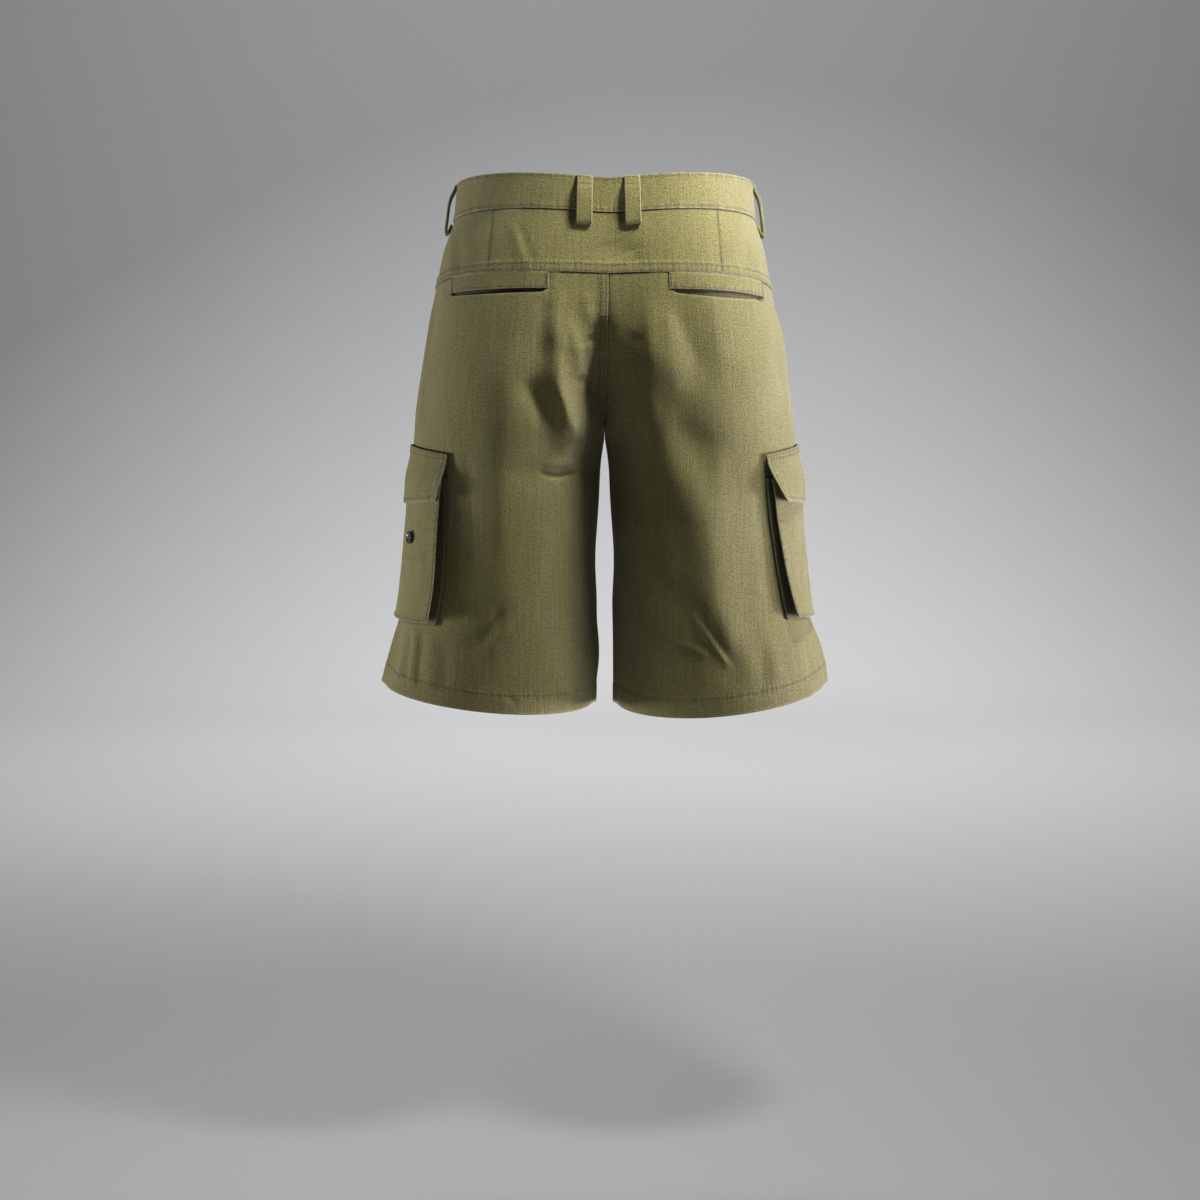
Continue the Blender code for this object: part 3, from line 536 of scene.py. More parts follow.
POCKET_CREASES = [
    *seen_from(
        "left",
        (5, 1.1, (20, -371), (52, -374), (86, -369)),
        (6, -0.9, (24, -386), (56, -390)),
        (5, -1.2, (46, -340), (40, -372), (30, -400)),
        (8, 1.2, (-40, -330), (-46, -400)),
        (7, -1.1, (-20, -318), (-16, -372)),
        (6, 0.9, (66, -262), (62, -312)),
        (7, 0.9, (-44, -264), (-48, -312)),
        (8, -0.9, (0, -270), (2, -314)),
    ),
    *seen_from(
        "right",
        (8, 1.1, (30, -340), (26, -420)),
        (7, -1.2, (8, -322), (12, -380)),
        (8, 1.2, (-38, -330), (-50, -410)),
        (5, -0.8, (44, -380), (60, -392)),
        (7, -0.9, (-20, -266), (-18, -312)),
        (8, 0.9, (20, -264), (24, -310)),
    ),
]


def soft(values):
    """Go softly from 0 to 1 as the values go from 0 to 1."""
    t = np.clip(values, 0.0, 1.0)
    return t * t * (3 - 2 * t)


def bell(away, width):
    """Fall softly from 1 at no distance to almost nothing at twice the width."""
    return np.exp(-((away / width) ** 2))


def crease_heights(points, normals, creases):
    """Return how far the creases move each point, outwards on the side that they are seen from."""
    heights = np.zeros(len(points))
    for crease in creases:
        facing = normals @ np.array(VIEWS[crease.view], dtype=float)
        axis = 0 if crease.view in ("back", "front") else 1
        places = points[:, [axis, 2]] / MM
        line = np.array(crease.line, dtype=float)
        lengths = np.linalg.norm(np.diff(line, axis=0), axis=1)
        nearest, share = np.full(len(points), np.inf), np.zeros(len(points))
        for number, length in enumerate(lengths):
            along = (line[number + 1] - line[number]) / length
            run = np.clip((places - line[number]) @ along, 0.0, length)
            away = np.linalg.norm(places - line[number] - run[:, None] * along, axis=1)
            closer = away < nearest
            nearest[closer] = away[closer]
            share[closer] = ((run + lengths[:number].sum()) / lengths.sum())[closer]
        fade = soft(np.minimum(share, 1 - share) * 3 + 0.25)
        heights += crease.height * MM * bell(nearest, crease.width) * fade * soft(2 * facing)
    return heights


FORMS_START = 15 * MM
BODY = [n for n in CLOTH_NODES if word_of(n) not in ("waistband", "cargo_pouch", "cargo_flap")]
for node, pattern in patterns.items():
    if node in BODY:
        below_band = soft((WAIST_SEAM - pattern.points[:, 2]) / FORMS_START)
        for view in ("back", "front"):
            forms = [form for form in FORMS if form.view == view]
            depths = crease_heights(pattern.points, pattern.normals, forms) * below_band
            pattern.points = pattern.points + depths[:, None] * np.array(VIEWS[view])
    creases = CREASES if node in BODY else POCKET_CREASES if "cargo" in node else []
    heights = crease_heights(pattern.points, pattern.normals, creases)
    heights *= below_band if node in BODY else 1.0
    pattern.points = pattern.points + heights[:, None] * pattern.normals
    print(f"{node}: creases from {heights.min() / MM:.1f} to {heights.max() / MM:.1f} mm")

# %% [markdown]
# A seam lies higher than the cloth beside it, because its allowances are folded under it and
# stitched down. One table holds every row of stitches as the side that it follows and its
# distance from that side. The same rows later carry the thread and the puckers beside it.

# %% Rows of stitches, and raised seams
Row = namedtuple("Row", "sides inset where", defaults=[None])


def above_crotch(x, y, z):
    """Tell whether a point lies on the centre seam, above the inseams."""
    return z > -235 * MM and abs(x) < 30 * MM


ROWS = {
    "waistband": [Row("top", 2.2), Row("bottom", 2.6)],
    "yoke_back": [Row("bottom", 1.7), Row("bottom", 8.2)],
    "back_left": [
        Row("right", 1.7, above_crotch),
        Row("right", 7.0, above_crotch),
        Row("bottom", 20),
    ],
    "back": [Row("bottom", 20)],
    "front": [Row("bottom", 20)],
    "fly_placket": [
        Row("left", 2.5),
        Row("right bottom", 2.0),
        Row("right bottom", 7.5),
    ],
    "back_welt": [Row("bottom", 1.7), Row("left right", 1.7)],
    "cargo_pouch": [Row("left right bottom", 2.2), Row("top", 14)],
    "cargo_flap": [
        Row("top", 1.7),
        Row("top", 5.8),
        Row("left right bottom", 4.6),
    ],
}
Strip = namedtuple("Strip", "sides depth height where", defaults=[None])
STRIPS = {
    "waistband": [Strip("top bottom", 4.5, 0.25)],
    "yoke_back": [Strip("bottom", 9.6, 1.0)],
    "back_left": [Strip("right", 8.5, 0.45, above_crotch), Strip("bottom", 20.5, 0.35)],
    "back": [Strip("bottom", 20.5, 0.35)],
    "front": [Strip("bottom", 20.5, 0.35)],
    "cargo_flap": [Strip("top", 7.0, 0.35), Strip("left right bottom", 5.4, 0.3)],
    "cargo_pouch": [Strip("left right bottom", 3.2, 0.3)],
}
STRIP_EDGE = 1.6
GROOVED = ("back_left", "back_right", "front_left", "front_right")
GROOVE_DEPTH = 0.5 * MM
GROOVE_WIDTH = 1.8


def table_for(table, node):
    """Return a table's entry for a node, or for its pair."""
    return table.get(node, table.get(word_of(node), []))


for node, pattern in patterns.items():
    heights = np.zeros(len(pattern.points))
    for strip in table_for(STRIPS, node):
        away = pattern.distance(strip.sides, strip.where) / MM
        heights += strip.height * MM * (1 - soft((away - strip.depth) / STRIP_EDGE))
    if node in GROOVED:
        away = pattern.distance("left right") / MM
        heights -= GROOVE_DEPTH * bell(away, GROOVE_WIDTH)
    pattern.points = pattern.points + heights[:, None] * pattern.normals
    move_points(pattern.piece.data, pattern.points)
    pattern.normals = normals_of(pattern.piece.data)
print("Rows of stitches:", sum(len(table_for(ROWS, node)) for node in CLOTH_NODES))

# %% [markdown]
# At each seam one panel lies on top, with a folded edge that rubs pale, and the other goes
# under it, where the cloth stays unworn and a thin line of painted shade darkens the seam's
# groove. This table names the sides that go under. The centre seam of the right back panel is
# pulled nearly flat, so it is marked as shallow and its painted shade is weaker. Cloth that is
# only seen through a slot or in a fold is marked as lying in shade, and is painted darker.


# %% Which side goes under at each seam
def not_at_welt(x, y, z):
    """Tell whether a point of a back panel's top lies beside the welt pocket."""
    return not 44 * MM < abs(x) < 156 * MM


def below_crotch(x, y, z):
    """Tell whether a point lies on an inseam."""
    return z < -238 * MM


TUCKED = {
    "yoke_back": [("top", None)],
    "back_left": [("top", not_at_welt)],
    "back_right": [("top", not_at_welt), ("left", above_crotch)],
    "front_left": [("top", None), ("right", None), ("left", below_crotch)],
    "front_right": [("top", None), ("left", None), ("right", None)],
}
# Painted shade also darkens the darts, is weaker on the shallow seam, and covers the pieces in shade.
DARTS = [((112.5, -20), (117, -73)), ((-113.5, -20), (-117, -75))]
SHALLOW_SEAM = {"back_right": 0.35}
IN_SHADE = {"back_pocket_facing_left": 1.0, "back_pocket_facing_right": 0.7, "cargo_gusset": 0.6}
print("Sides that go under:", sum(len(sides) for sides in TUCKED.values()))

# %% [markdown]
# Materials need to know where the cloth is worn, where it puckers, and where painted shade
# darkens it: in seams, beside rows of stitches, along darts and on pieces in shade. All are
# measured on the pattern now and stored on the cloth as attributes, so the finish follows the seams.


# %% Marks for wear, puckers and painted shade
def store(mesh, name, values):
    """Store one number for each point of a mesh."""
    attribute = mesh.attributes.new(name, "FLOAT", "POINT")
    attribute.data.foreach_set("value", np.asarray(values, dtype=np.float32))


WORN_WIDTH = 1.5 * MM
# Widths in millimetres from here, beside a strength where the mark isn't full
UNDER_WIDTH = 4.0
SEAM_WIDTH = 1.1
STITCH_SHADE, STITCH_SHADE_WIDTH = 0.45, 0.9
DART_SHADE, DART_WIDTH, DART_FRONT_SHIFT = 0.8, 0.9, 9
PUCKER_WIDTH = 4.0
GROOVE_PUCKER, GROOVE_PUCKER_WIDTH = 0.7, 6.0


def wear_and_painted_shade(node, pattern):
    """Return how worn each point is, and how much painted shade darkens it in seams and folds."""
    worn = bell(pattern.distance("left right top bottom"), WORN_WIDTH)
    shade_marks = IN_SHADE.get(node, 0.0)
    for side, where in TUCKED.get(node, []):
        near = pattern.distance(side, where) / MM
        worn = worn * (1 - bell(near, UNDER_WIDTH))
        # A tucked side gets a line of painted shade, weaker where the seam is shallow.
        depth = SHALLOW_SEAM.get(node, 1.0) if where is above_crotch else 1.0
        shade_marks = np.maximum(shade_marks, depth * bell(near, SEAM_WIDTH))
    # Painted shade beside each row of stitches, and along each dart.
    for row in table_for(ROWS, node):
        near = abs(pattern.distance(row.sides, row.where) / MM - row.inset)
        shade_marks = np.maximum(shade_marks, STITCH_SHADE * bell(near, STITCH_SHADE_WIDTH))
    for (top_x, top_z), (low_x, low_z) in DARTS if node == "yoke_back" else []:
        x, _, z = pattern.points.T / MM
        aside = abs(x - np.interp(z, [low_z, top_z], [low_x, top_x]))
        aside = aside + DART_FRONT_SHIFT * (pattern.points[:, 1] < 0)
        shade_marks = np.maximum(shade_marks, DART_SHADE * bell(aside, DART_WIDTH))
    return worn, np.broadcast_to(shade_marks, len(pattern.points))


def beside_stitches(node, pattern, sides):
    """Return how near each point is to the rows of stitches on these sides."""
    mask = np.zeros(len(pattern.points))
    for row in table_for(ROWS, node):
        for side in row.sides.split():
            if side in sides and pattern.on_side(side, row.where).any():
                beside = abs(pattern.distance(side, row.where) / MM - row.inset)
                mask = np.maximum(mask, bell(beside, PUCKER_WIDTH))
    return mask


for node, pattern in patterns.items():
    mesh = pattern.piece.data
    worn, shade_marks = wear_and_painted_shade(node, pattern)
    store(mesh, "worn_edge", worn)
    store(mesh, "painted_shade_mark", shade_marks)
    store(mesh, "level_seam", beside_stitches(node, pattern, ("top", "bottom")))
    upright_seams = beside_stitches(node, pattern, ("left", "right"))
    for side in ("left", "right") if node in GROOVED else ():
        beside = pattern.distance(side) / MM
        upright_seams = np.maximum(upright_seams, GROOVE_PUCKER * bell(beside, GROOVE_PUCKER_WIDTH))
    store(mesh, "upright_seam", upright_seams)
print("Marks on the yoke:", [a.name for a in patterns["yoke_back"].piece.data.attributes][-3:])

# %% [markdown]
# Where two panels are sewn, one has a seam allowance that lies under the other. Each lower
# panel gets such a tongue: its rim is extruded outwards along the cloth and a little inwards.
# Without it, light would shine through the seam.

# %% Seam allowances under the seams
ALLOWANCE = 2.6 * MM
ALLOWANCE_DROP = 1.1 * MM


def tuck(node, sides, where):
    """Extrude a sheet's rim on some sides into an allowance that lies under its neighbour."""
    pattern = patterns[node]
    chosen = set(pattern.rim_vertices[pattern.on_side(sides, where)[:: pattern.samples]])
    bm = bmesh.new()
    bm.from_mesh(pattern.piece.data)
    shifts, edges = {}, []
    for edge in bm.edges:
        if edge.is_boundary and all(vert.index in chosen for vert in edge.verts):
            edges.append(edge)
            loop = edge.link_loops[0]
            along = (loop.link_loop_next.vert.co - loop.vert.co).normalized()
            shift = along.cross(loop.face.normal) * ALLOWANCE - loop.face.normal * ALLOWANCE_DROP
            for vert in edge.verts:
                shifts.setdefault(tuple(vert.co), []).append(shift)
    made = bmesh.ops.extrude_edge_only(bm, edges=edges)
    for vert in made["geom"]:
        if isinstance(vert, bmesh.types.BMVert):
            near = shifts[tuple(vert.co)]
            vert.co += sum(near, Vector()) / len(near)
    bm.to_mesh(pattern.piece.data)
    bm.free()
    return len(edges)


for node, sides in TUCKED.items():
    for side, where in sides:
        print(node, side, "tucked under by", tuck(node, side, where), "edges")

# %% [markdown]
# Now each sheet gets its thickness, inwards, so the outer face stays where it is. A small
# bevel rounds the cut edges, as a folded edge of canvas is rounded. A hem is turned up, so the
# cloth is twice as thick there: a vertex group tells Solidify where.

# %% Thickness and rounded edges
CLOTH = 1.2 * MM
THICKNESS = {"waistband": 2.4 * MM, "cargo_flap": 1.8 * MM, "back_welt": 1.6 * MM}
HEM = 21.5 * MM
EDGE_ROUNDING = 0.35 * MM


def thicken(piece, thickness, hem_distance):
    """Give a sheet its thickness inwards, twice as much in its hem, and round its edges."""
    solid = {"thickness": thickness, "offset": -1.0, "use_rim": True}
    if hem_distance is not None:
        group = piece.vertex_groups.new(name="hem")
        weights = 1 - soft((hem_distance - HEM) / MM)
        for number in np.flatnonzero(weights > 0.01):
            group.add([int(number)], float(weights[number]), "REPLACE")
        solid.update(thickness=2 * thickness, vertex_group="hem", thickness_vertex_group=0.5)
    apply_modifier(piece, "SOLIDIFY", **solid)
    apply_modifier(
        piece, "BEVEL", width=EDGE_ROUNDING, segments=2, limit_method="ANGLE", angle_limit=math.radians(60)
    )
    smooth(piece)


for node, sheet in sheets.items():
    distance = patterns[node].distance("bottom") if word_of(node) in ("back", "front") else None
    thicken(sheet, THICKNESS.get(word_of(node), CLOTH), distance)
    print(node, len(sheet.data.polygons), "faces")

# %% [markdown]
# The bellows gussets fold in on themselves and the belt loops fold under at their lower ends,
# so these few small pieces keep both faces of the solid wall. Their corners are creased a
# little before they are subdivided, which leaves a soft but narrow folded edge.

# %% Gussets and belt loops
LOOP_NODES = []
for place in ("back", "side", "front"):
    LOOP_NODES += [f"belt_loop_{place}_left", f"belt_loop_{place}_right"]
GUSSET_NODES = ["cargo_gusset_left", "cargo_gusset_right"]
FOLD_WEAR = 6


def worn_folds(piece):
    """Return how near each point is to a fold or edge, from how much its neighbours bend away."""
    points, normals = points_of(piece.data), normals_of(piece.data)
    bend = np.zeros(len(points))
    for edge in piece.data.edges:
        first, second = edge.vertices
        turn = 1 - normals[first] @ normals[second]
        bend[first] = max(bend[first], turn)
        bend[second] = max(bend[second], turn)
    return np.clip(bend * FOLD_WEAR, 0, 1)


def soft_wall(node, crease, levels, fatten=0.0):
    """Return a subdivided copy of a whole wall, with its sharp edges creased, and plumper."""
    piece = copy_node(node, node + "_cloth")
    angle = math.radians(80)
    edit(
        piece,
        lambda: bpy.ops.mesh.tris_convert_to_quads(
            face_threshold=math.radians(25), shape_threshold=angle, topology_influence=1.0
        ),
        lambda: bpy.ops.mesh.select_all(action="DESELECT"),
        lambda: bpy.ops.mesh.select_mode(type="EDGE"),
        lambda: bpy.ops.mesh.edges_select_sharp(sharpness=SHARP),
        lambda: bpy.ops.transform.edge_crease(value=crease),
        lambda: bpy.ops.mesh.select_mode(type="FACE"),
    )
    apply_modifier(piece, "SUBSURF", levels=levels, render_levels=levels)
    edit(piece, lambda: bpy.ops.transform.shrink_fatten(value=fatten))
    piece.data.uv_layers.new(name="pattern")
    edit(piece, lambda: bpy.ops.uv.cube_project(cube_size=1.0, correct_aspect=False))
    store(piece.data, "worn_edge", worn_folds(piece))
    for mark in ("level_seam", "upright_seam"):
        store(piece.data, mark, [0.0] * len(piece.data.vertices))
    # Painted shade: a gusset, in its pouch's fold, is painted darker; loops are not.
    store(piece.data, "painted_shade_mark", [IN_SHADE.get(word_of(node), 0.0)] * len(piece.data.vertices))
    smooth(piece)
    return piece


PLUMP = 0.55 * MM
LOOP_CREASE, GUSSET_CREASE = 0.6, 0.75
walls = {node: soft_wall(node, LOOP_CREASE, 3, PLUMP) for node in LOOP_NODES}
walls.update({node: soft_wall(node, GUSSET_CREASE, 2) for node in GUSSET_NODES})
for node, wall in walls.items():
    print(node, len(wall.data.polygons), "faces")

# %% [markdown]
# The seams are sewn with thick thread. One stitch is modelled once: a thin rod that comes up
# out of the cloth, lies on it and dives back in. It is then copied along every row. A picture
# of stitches on the cloth would be quicker, but it would look flat at a seam's edge.

# %% Modelling one stitch
STITCH = 2.6 * MM
STITCH_PITCH = 3.4 * MM
THREAD_RADIUS = 0.33 * MM


def make_stitch():
    """Return the points and faces of one stitch, one unit long, that lies along X."""
    bpy.ops.mesh.primitive_circle_add(
        vertices=5,
        radius=0.4,
        fill_type="NGON",
        location=(-0.5, 0.0, -0.9),
        rotation=(0.0, math.radians(-60), 0.0),
    )
    rod = bpy.context.object
    pick(rod)
    bpy.ops.object.transform_apply(location=True, rotation=True, scale=True)
    bpy.ops.object.mode_set(mode="EDIT")
    bpy.ops.mesh.select_all(action="SELECT")
    for shift, size in (((0.2, 0.0, 1.0), 2.4), ((0.6, 0.0, 0.0), 1.0), ((0.2, 0.0, -1.0), 0.42)):
        bpy.ops.mesh.extrude_region_move(TRANSFORM_OT_translate={"value": shift})
        bpy.ops.transform.resize(value=(size, size, size))
    bpy.ops.mesh.select_all(action="SELECT")
    bpy.ops.mesh.normals_make_consistent(inside=False)
    bpy.ops.object.mode_set(mode="OBJECT")
    points, faces = points_of(rod.data), [tuple(face.vertices) for face in rod.data.polygons]
    points[:, 0] /= np.ptp(points[:, 0])
    bpy.data.objects.remove(rod)
    return points, faces


stitch_points, stitch_faces = make_stitch()
print("One stitch:", len(stitch_faces), "faces, up to", stitch_points.max(axis=0))

# %% [markdown]
# A row is walked in equal steps, and each copy is turned along the row and set on the cloth.
# Hand and machine are never perfect, so each copy is a little longer or shorter and turned a
# degree or two, by numbers that are the same at every run. All the stitches of one piece of
# cloth become one object with its own mesh.

# %% Sewing the rows
chance = random.Random(7)


def lay_stitch(start, end, normal, radius=THREAD_RADIUS):
    """Return the points of one stitch that lies between two points of the cloth."""
    along = (end - start) * (1 + chance.uniform(-0.06, 0.06))
    across = normal.cross(along).normalized()
    along = along + across * along.length * chance.uniform(-0.05, 0.05)
    up = along.cross(across).normalized()
    matrix = np.array([along, across * radius, up * radius]).T
    return stitch_points @ matrix.T + np.array((start + end) / 2 + normal * 0.1 * MM)


def walk(line, pitch=STITCH_PITCH, length=STITCH, gap=4 * MM):
    """Return the start and end of each stitch along a line of places, with breaks left open."""
    pairs = []
    steps = np.linalg.norm(np.diff(line, axis=0), axis=1)
    for part in np.split(np.arange(len(line)), np.flatnonzero(steps > gap) + 1):
        if len(part) < 2:
            continue
        part_steps = np.linalg.norm(np.diff(line[part], axis=0), axis=1)
        run = np.concatenate([[0.0], np.cumsum(part_steps)])
        for start in np.arange(0.5 * pitch, run[-1] - length, pitch):
            ends = (start, start + length)
            pairs.append([[np.interp(at, run, column) for column in line[part].T] for at in ends])
    return pairs


def sew(name, stitches):
    """Join the points of many stitches into one object."""
    points = np.concatenate(stitches)
    faces = [
        tuple(number + len(stitch_points) * k for number in face)
        for k in range(len(stitches))
        for face in stitch_faces
    ]
    mesh = bpy.data.meshes.new(name)
    mesh.from_pydata(points.tolist(), [], faces)
    piece = add_object(name, mesh)
    smooth(piece)
    return piece


TACK_PITCH = 0.72 * MM
TACK_WIDTH = 2.0 * MM


def at_pouch_corner(x, y, z):
    """Tell whether a point is near a corner of a cargo pouch."""
    return z > -279 * MM or z < -415 * MM


def at_flap_top(x, y, z):
    """Tell whether a point is near the top of a cargo flap."""
    return z > -262 * MM


TACKS = {
    "back_welt": [Row("left right", 1.9)],
    "cargo_pouch": [Row("left right", 2.6, at_pouch_corner)],
    "cargo_flap": [Row("left right", 2.6, at_flap_top)],
}


def lay_on(pattern, start, end, length):
    """Return one stitch between two places of a pattern, unless the cloth has a break there."""
    (first, first_normal), (last, last_normal) = pattern.on_cloth(start), pattern.on_cloth(end)
    if not 0.6 * length < (last - first).length < 1.5 * length:
        return []
    return [lay_stitch(first, last, (first_normal + last_normal).normalized())]


seams = {}
for node, pattern in patterns.items():
    stitches = []
    for row in table_for(ROWS, node):
        for start, end in walk(pattern.row(row.sides, row.inset * MM, row.where)):
            stitches += lay_on(pattern, start, end, STITCH)
    for row in table_for(TACKS, node):
        for start, end in walk(pattern.row(row.sides, row.inset * MM, row.where), TACK_PITCH, TACK_PITCH):
            middle, along = (np.array(start) + end) / 2, (np.array(end) - start) / TACK_PITCH
            half = np.array([-along[1], along[0]]) * TACK_WIDTH / 2
            stitches += lay_on(pattern, middle - half, middle + half, TACK_WIDTH)
    if stitches:
        seams[node] = sew(node + "_stitches", stitches)
        print(node, len(stitches), "stitches")

# %% [markdown]
# The belt loops have a row down each side and a bar tack at each end, where many short
# stitches lie side by side. A bar tack also closes each corner of the pockets. These small
# pieces have no flat pattern, so their stitches are dropped on them along their normal.

# %% Loops and bar tacks
def own_frame(points):
    """Return a small piece's middle and its long, broad and outward directions."""
    middle = points.mean(axis=0)
    long, _, out = np.linalg.svd(points - middle)[2]
    out = out * np.sign(out[:2] @ middle[:2])
    long = long * np.sign(long[2])
    return middle, long, np.cross(long, out), out


def drop(tree, place, out):
    """Return where a line against the outward direction meets a piece, with its normal."""
    found, normal, _, _ = tree.ray_cast(Vector(place + 40 * MM * out), Vector(-out), 80 * MM)
    return (found, normal) if found else (None, None)


def dropped_row(tree, start, end, out):
    """Return the stitches of a straight row that is dropped on a piece."""
    stitches = []
    for pair in walk(np.array([start, end]), gap=1.0):
        (first, normal), (last, _) = (drop(tree, np.array(place), out) for place in pair)
        if first and last and (last - first).length < 2 * STITCH:
            stitches.append(lay_stitch(first, last, normal))
    return stitches


def bar_tack(tree, middle, along, across, out, length, height):
    """Return a bar tack: short stitches side by side along a line."""
    stitches = []
    for shift in np.arange(-length / 2, length / 2, TACK_PITCH):
        ends = [middle + shift * along + side * height / 2 * across for side in (-1, 1)]
        (first, normal), (last, _) = (drop(tree, place, out) for place in ends)
        if first and last and (last - first).length < 2 * height:
            stitches.append(lay_stitch(first, last, normal))
    return stitches


def tree_of(piece):
    """Return a search tree of a finished piece."""
    mesh = piece.data
    return BVHTree.FromPolygons(points_of(mesh).tolist(), [tuple(face.vertices) for face in mesh.polygons])


for node in LOOP_NODES:
    wall, tree = walls[node], tree_of(walls[node])
    points = points_of(wall.data)
    middle, long, broad, out = own_frame(points)
    half_length = np.abs((points - middle) @ long).max()
    half_width = np.abs((points - middle) @ broad).max()
    stitches = []
    for side in (-1, 1):
        edge = middle + side * (half_width - 1.7 * MM) * broad
        ends = [edge + share * (half_length - 3 * MM) * long for share in (1, -1)]
        stitches += dropped_row(tree, *ends, out)
    tack_length = 2 * half_width - 3 * MM
    for height in (half_length - 9 * MM, -half_length + 5 * MM):
        stitches += bar_tack(tree, middle + height * long, broad, long, out, tack_length, 1.9 * MM)
    seams[node] = sew(node + "_stitches", stitches)
    print(node, len(stitches), "stitches")

# %% [markdown]
# The buttons are dark four-hole buttons. One is turned on a lathe, so to speak: a disc whose
# face is inset and pressed down to leave a rim, with four holes cut through it. It is
# modelled once lying flat, and each copy is laid on its place on the cloth.


# %% Modelling one button
BUTTON_HEIGHT = 2.2 * MM
HOLE_SHARE = 0.24
HOLE_RADIUS_SHARE = 0.13


def dished_disc(radius, height):
    """Return a disc with a raised, rounded rim round a hollow face."""
    bpy.ops.mesh.primitive_cylinder_add(vertices=48, radius=radius, depth=height)
    disc = bpy.context.object
    top = [face.index for face in disc.data.polygons if face.normal.z > 0.9]
    for face in disc.data.polygons:
        face.select = face.index in top
    edit(
        disc,
        lambda: bpy.ops.mesh.inset(thickness=0.22 * radius, depth=0.0),
        lambda: bpy.ops.mesh.inset(thickness=0.12 * radius, depth=-0.38 * height),
        lambda: bpy.ops.mesh.inset(thickness=0.35 * radius, depth=-0.04 * height),
        select=None,
    )
    apply_modifier(
        disc, "BEVEL", width=0.13 * height, segments=3, limit_method="ANGLE", angle_limit=math.radians(40)
    )
    return disc


def cut_holes(disc, radius, height):
    """Cut four round thread holes through a button."""
    for x in (-1, 1):
        for y in (-1, 1):
            bpy.ops.mesh.primitive_cylinder_add(
                vertices=20,
                radius=HOLE_RADIUS_SHARE * radius,
                depth=4 * height,
                location=(HOLE_SHARE * x * radius, HOLE_SHARE * y * radius, 0.0),
            )
            drill = bpy.context.object
            apply_modifier(disc, "BOOLEAN", object=drill, operation="DIFFERENCE", solver="EXACT")
            bpy.data.objects.remove(drill)


def make_button(node):
    """Return a button that lies where a solid button lies, facing away from the cloth."""
    points = points_of(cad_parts[node].data)
    centre = points.mean(axis=0)
    axis = np.linalg.svd(points - centre)[2][2]
    axis = axis * np.sign(axis[:2] @ centre[:2])
    spread = points - centre - np.outer((points - centre) @ axis, axis)
    radius = float(np.linalg.norm(spread, axis=1).max())
    disc = dished_disc(radius, BUTTON_HEIGHT)
    cut_holes(disc, radius, BUTTON_HEIGHT)
    pick(disc)
    bpy.ops.object.shade_smooth_by_angle(angle=math.radians(35))
    lowest = ((points - centre) @ axis).min()
    turn = Vector(axis).to_track_quat("Z", "Y").to_matrix().to_4x4()
    place = Vector(centre + (lowest + BUTTON_HEIGHT / 2) * axis)
    disc.data.transform(Matrix.Translation(place) @ turn)
    disc.name = node + "_piece"
    return disc, radius, Matrix.Translation(place) @ turn


buttons = {}
for node in ("waist_button", "cargo_button_left", "cargo_button_right"):
    buttons[node] = make_button(node)
    print(f"{node}: {2 * buttons[node][1] / MM:.1f} mm across")

# %% [markdown]
# A button is sewn on through its holes, so two pairs of threads cross its dished face. The
# waistband's lap also has a whipped buttonhole: short stitches stand side by side round a slot
# that runs from under the button to the lap's edge side.

# %% Threads through the buttons, and the buttonhole
BUTTONHOLE = 21 * MM
BUTTON_THREAD_RADIUS = 0.4 * MM
# Half the gap between two threads, as a share of the button's radius
THREADS_APART = 0.09


def sew_button_on(radius, matrix):
    """Return the threads that hold a button, two between each pair of its holes."""
    normal = (matrix.to_3x3() @ Vector((0, 0, 1))).normalized()
    stitches = []
    for x in (-1, 1):
        for shift in (-THREADS_APART, THREADS_APART):
            across, lift = (x * HOLE_SHARE + shift) * radius, 0.2 * MM
            ends = [(across, y * HOLE_SHARE * radius, lift) for y in (-1, 1)]
            first, last = (matrix @ Vector(end) for end in ends)
            stitches.append(lay_stitch(first, last, normal, BUTTON_THREAD_RADIUS))
    return stitches


def whip_buttonhole(tree, matrix):
    """Return the short stitches on both sides of the waistband's buttonhole."""
    out = np.array(matrix.to_3x3() @ Vector((0, 0, 1)))
    middle = np.array(matrix.translation)
    along = np.cross([0, 0, 1], out) / np.linalg.norm(np.cross([0, 0, 1], out))
    across, stitches = np.cross(out, along), []
    for side in (-1, 1):
        for shift in np.arange(-BUTTONHOLE + 4 * MM, 4 * MM, 0.8 * MM):
            ends = [middle + shift * along + side * inset * MM * across for inset in (0.5, 2.3)]
            (first, normal), (last, _) = (drop(tree, place, out) for place in ends)
            stitches.append(lay_stitch(first, last, normal))
    return stitches


for node, (disc, radius, matrix) in buttons.items():
    seams[node] = sew(node + "_threads", sew_button_on(radius, matrix))
whipping = whip_buttonhole(tree_of(sheets["waistband"]), buttons["waist_button"][2])
buttonhole = sew("waistband_buttonhole", whipping)
print("The buttonhole has", len(buttonhole.data.polygons) // len(stitch_faces), "stitches")

# %% [markdown]
# Every piece now rides on the body of the model and stands for its solid, which is hidden.

# %% Attaching the pieces to the body
# A strip's length in millimetres: along a loop's middle, and along a gusset's seam to its pouch
STRIP_LENGTHS = {
    "belt_loop_back_left": 59,
    "belt_loop_back_right": 59,
    "belt_loop_side_left": 62,
    "belt_loop_side_right": 66,
    "belt_loop_front_left": 62,
    "belt_loop_front_right": 62,
    "cargo_gusset_left": 497,
    "cargo_gusset_right": 472,
}
LOOP_WIDTH = 15 * MM
GUSSET_WIDTH = 32 * MM


def ride_with(piece):
    """Let a piece ride on the body."""
    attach(piece, "root")


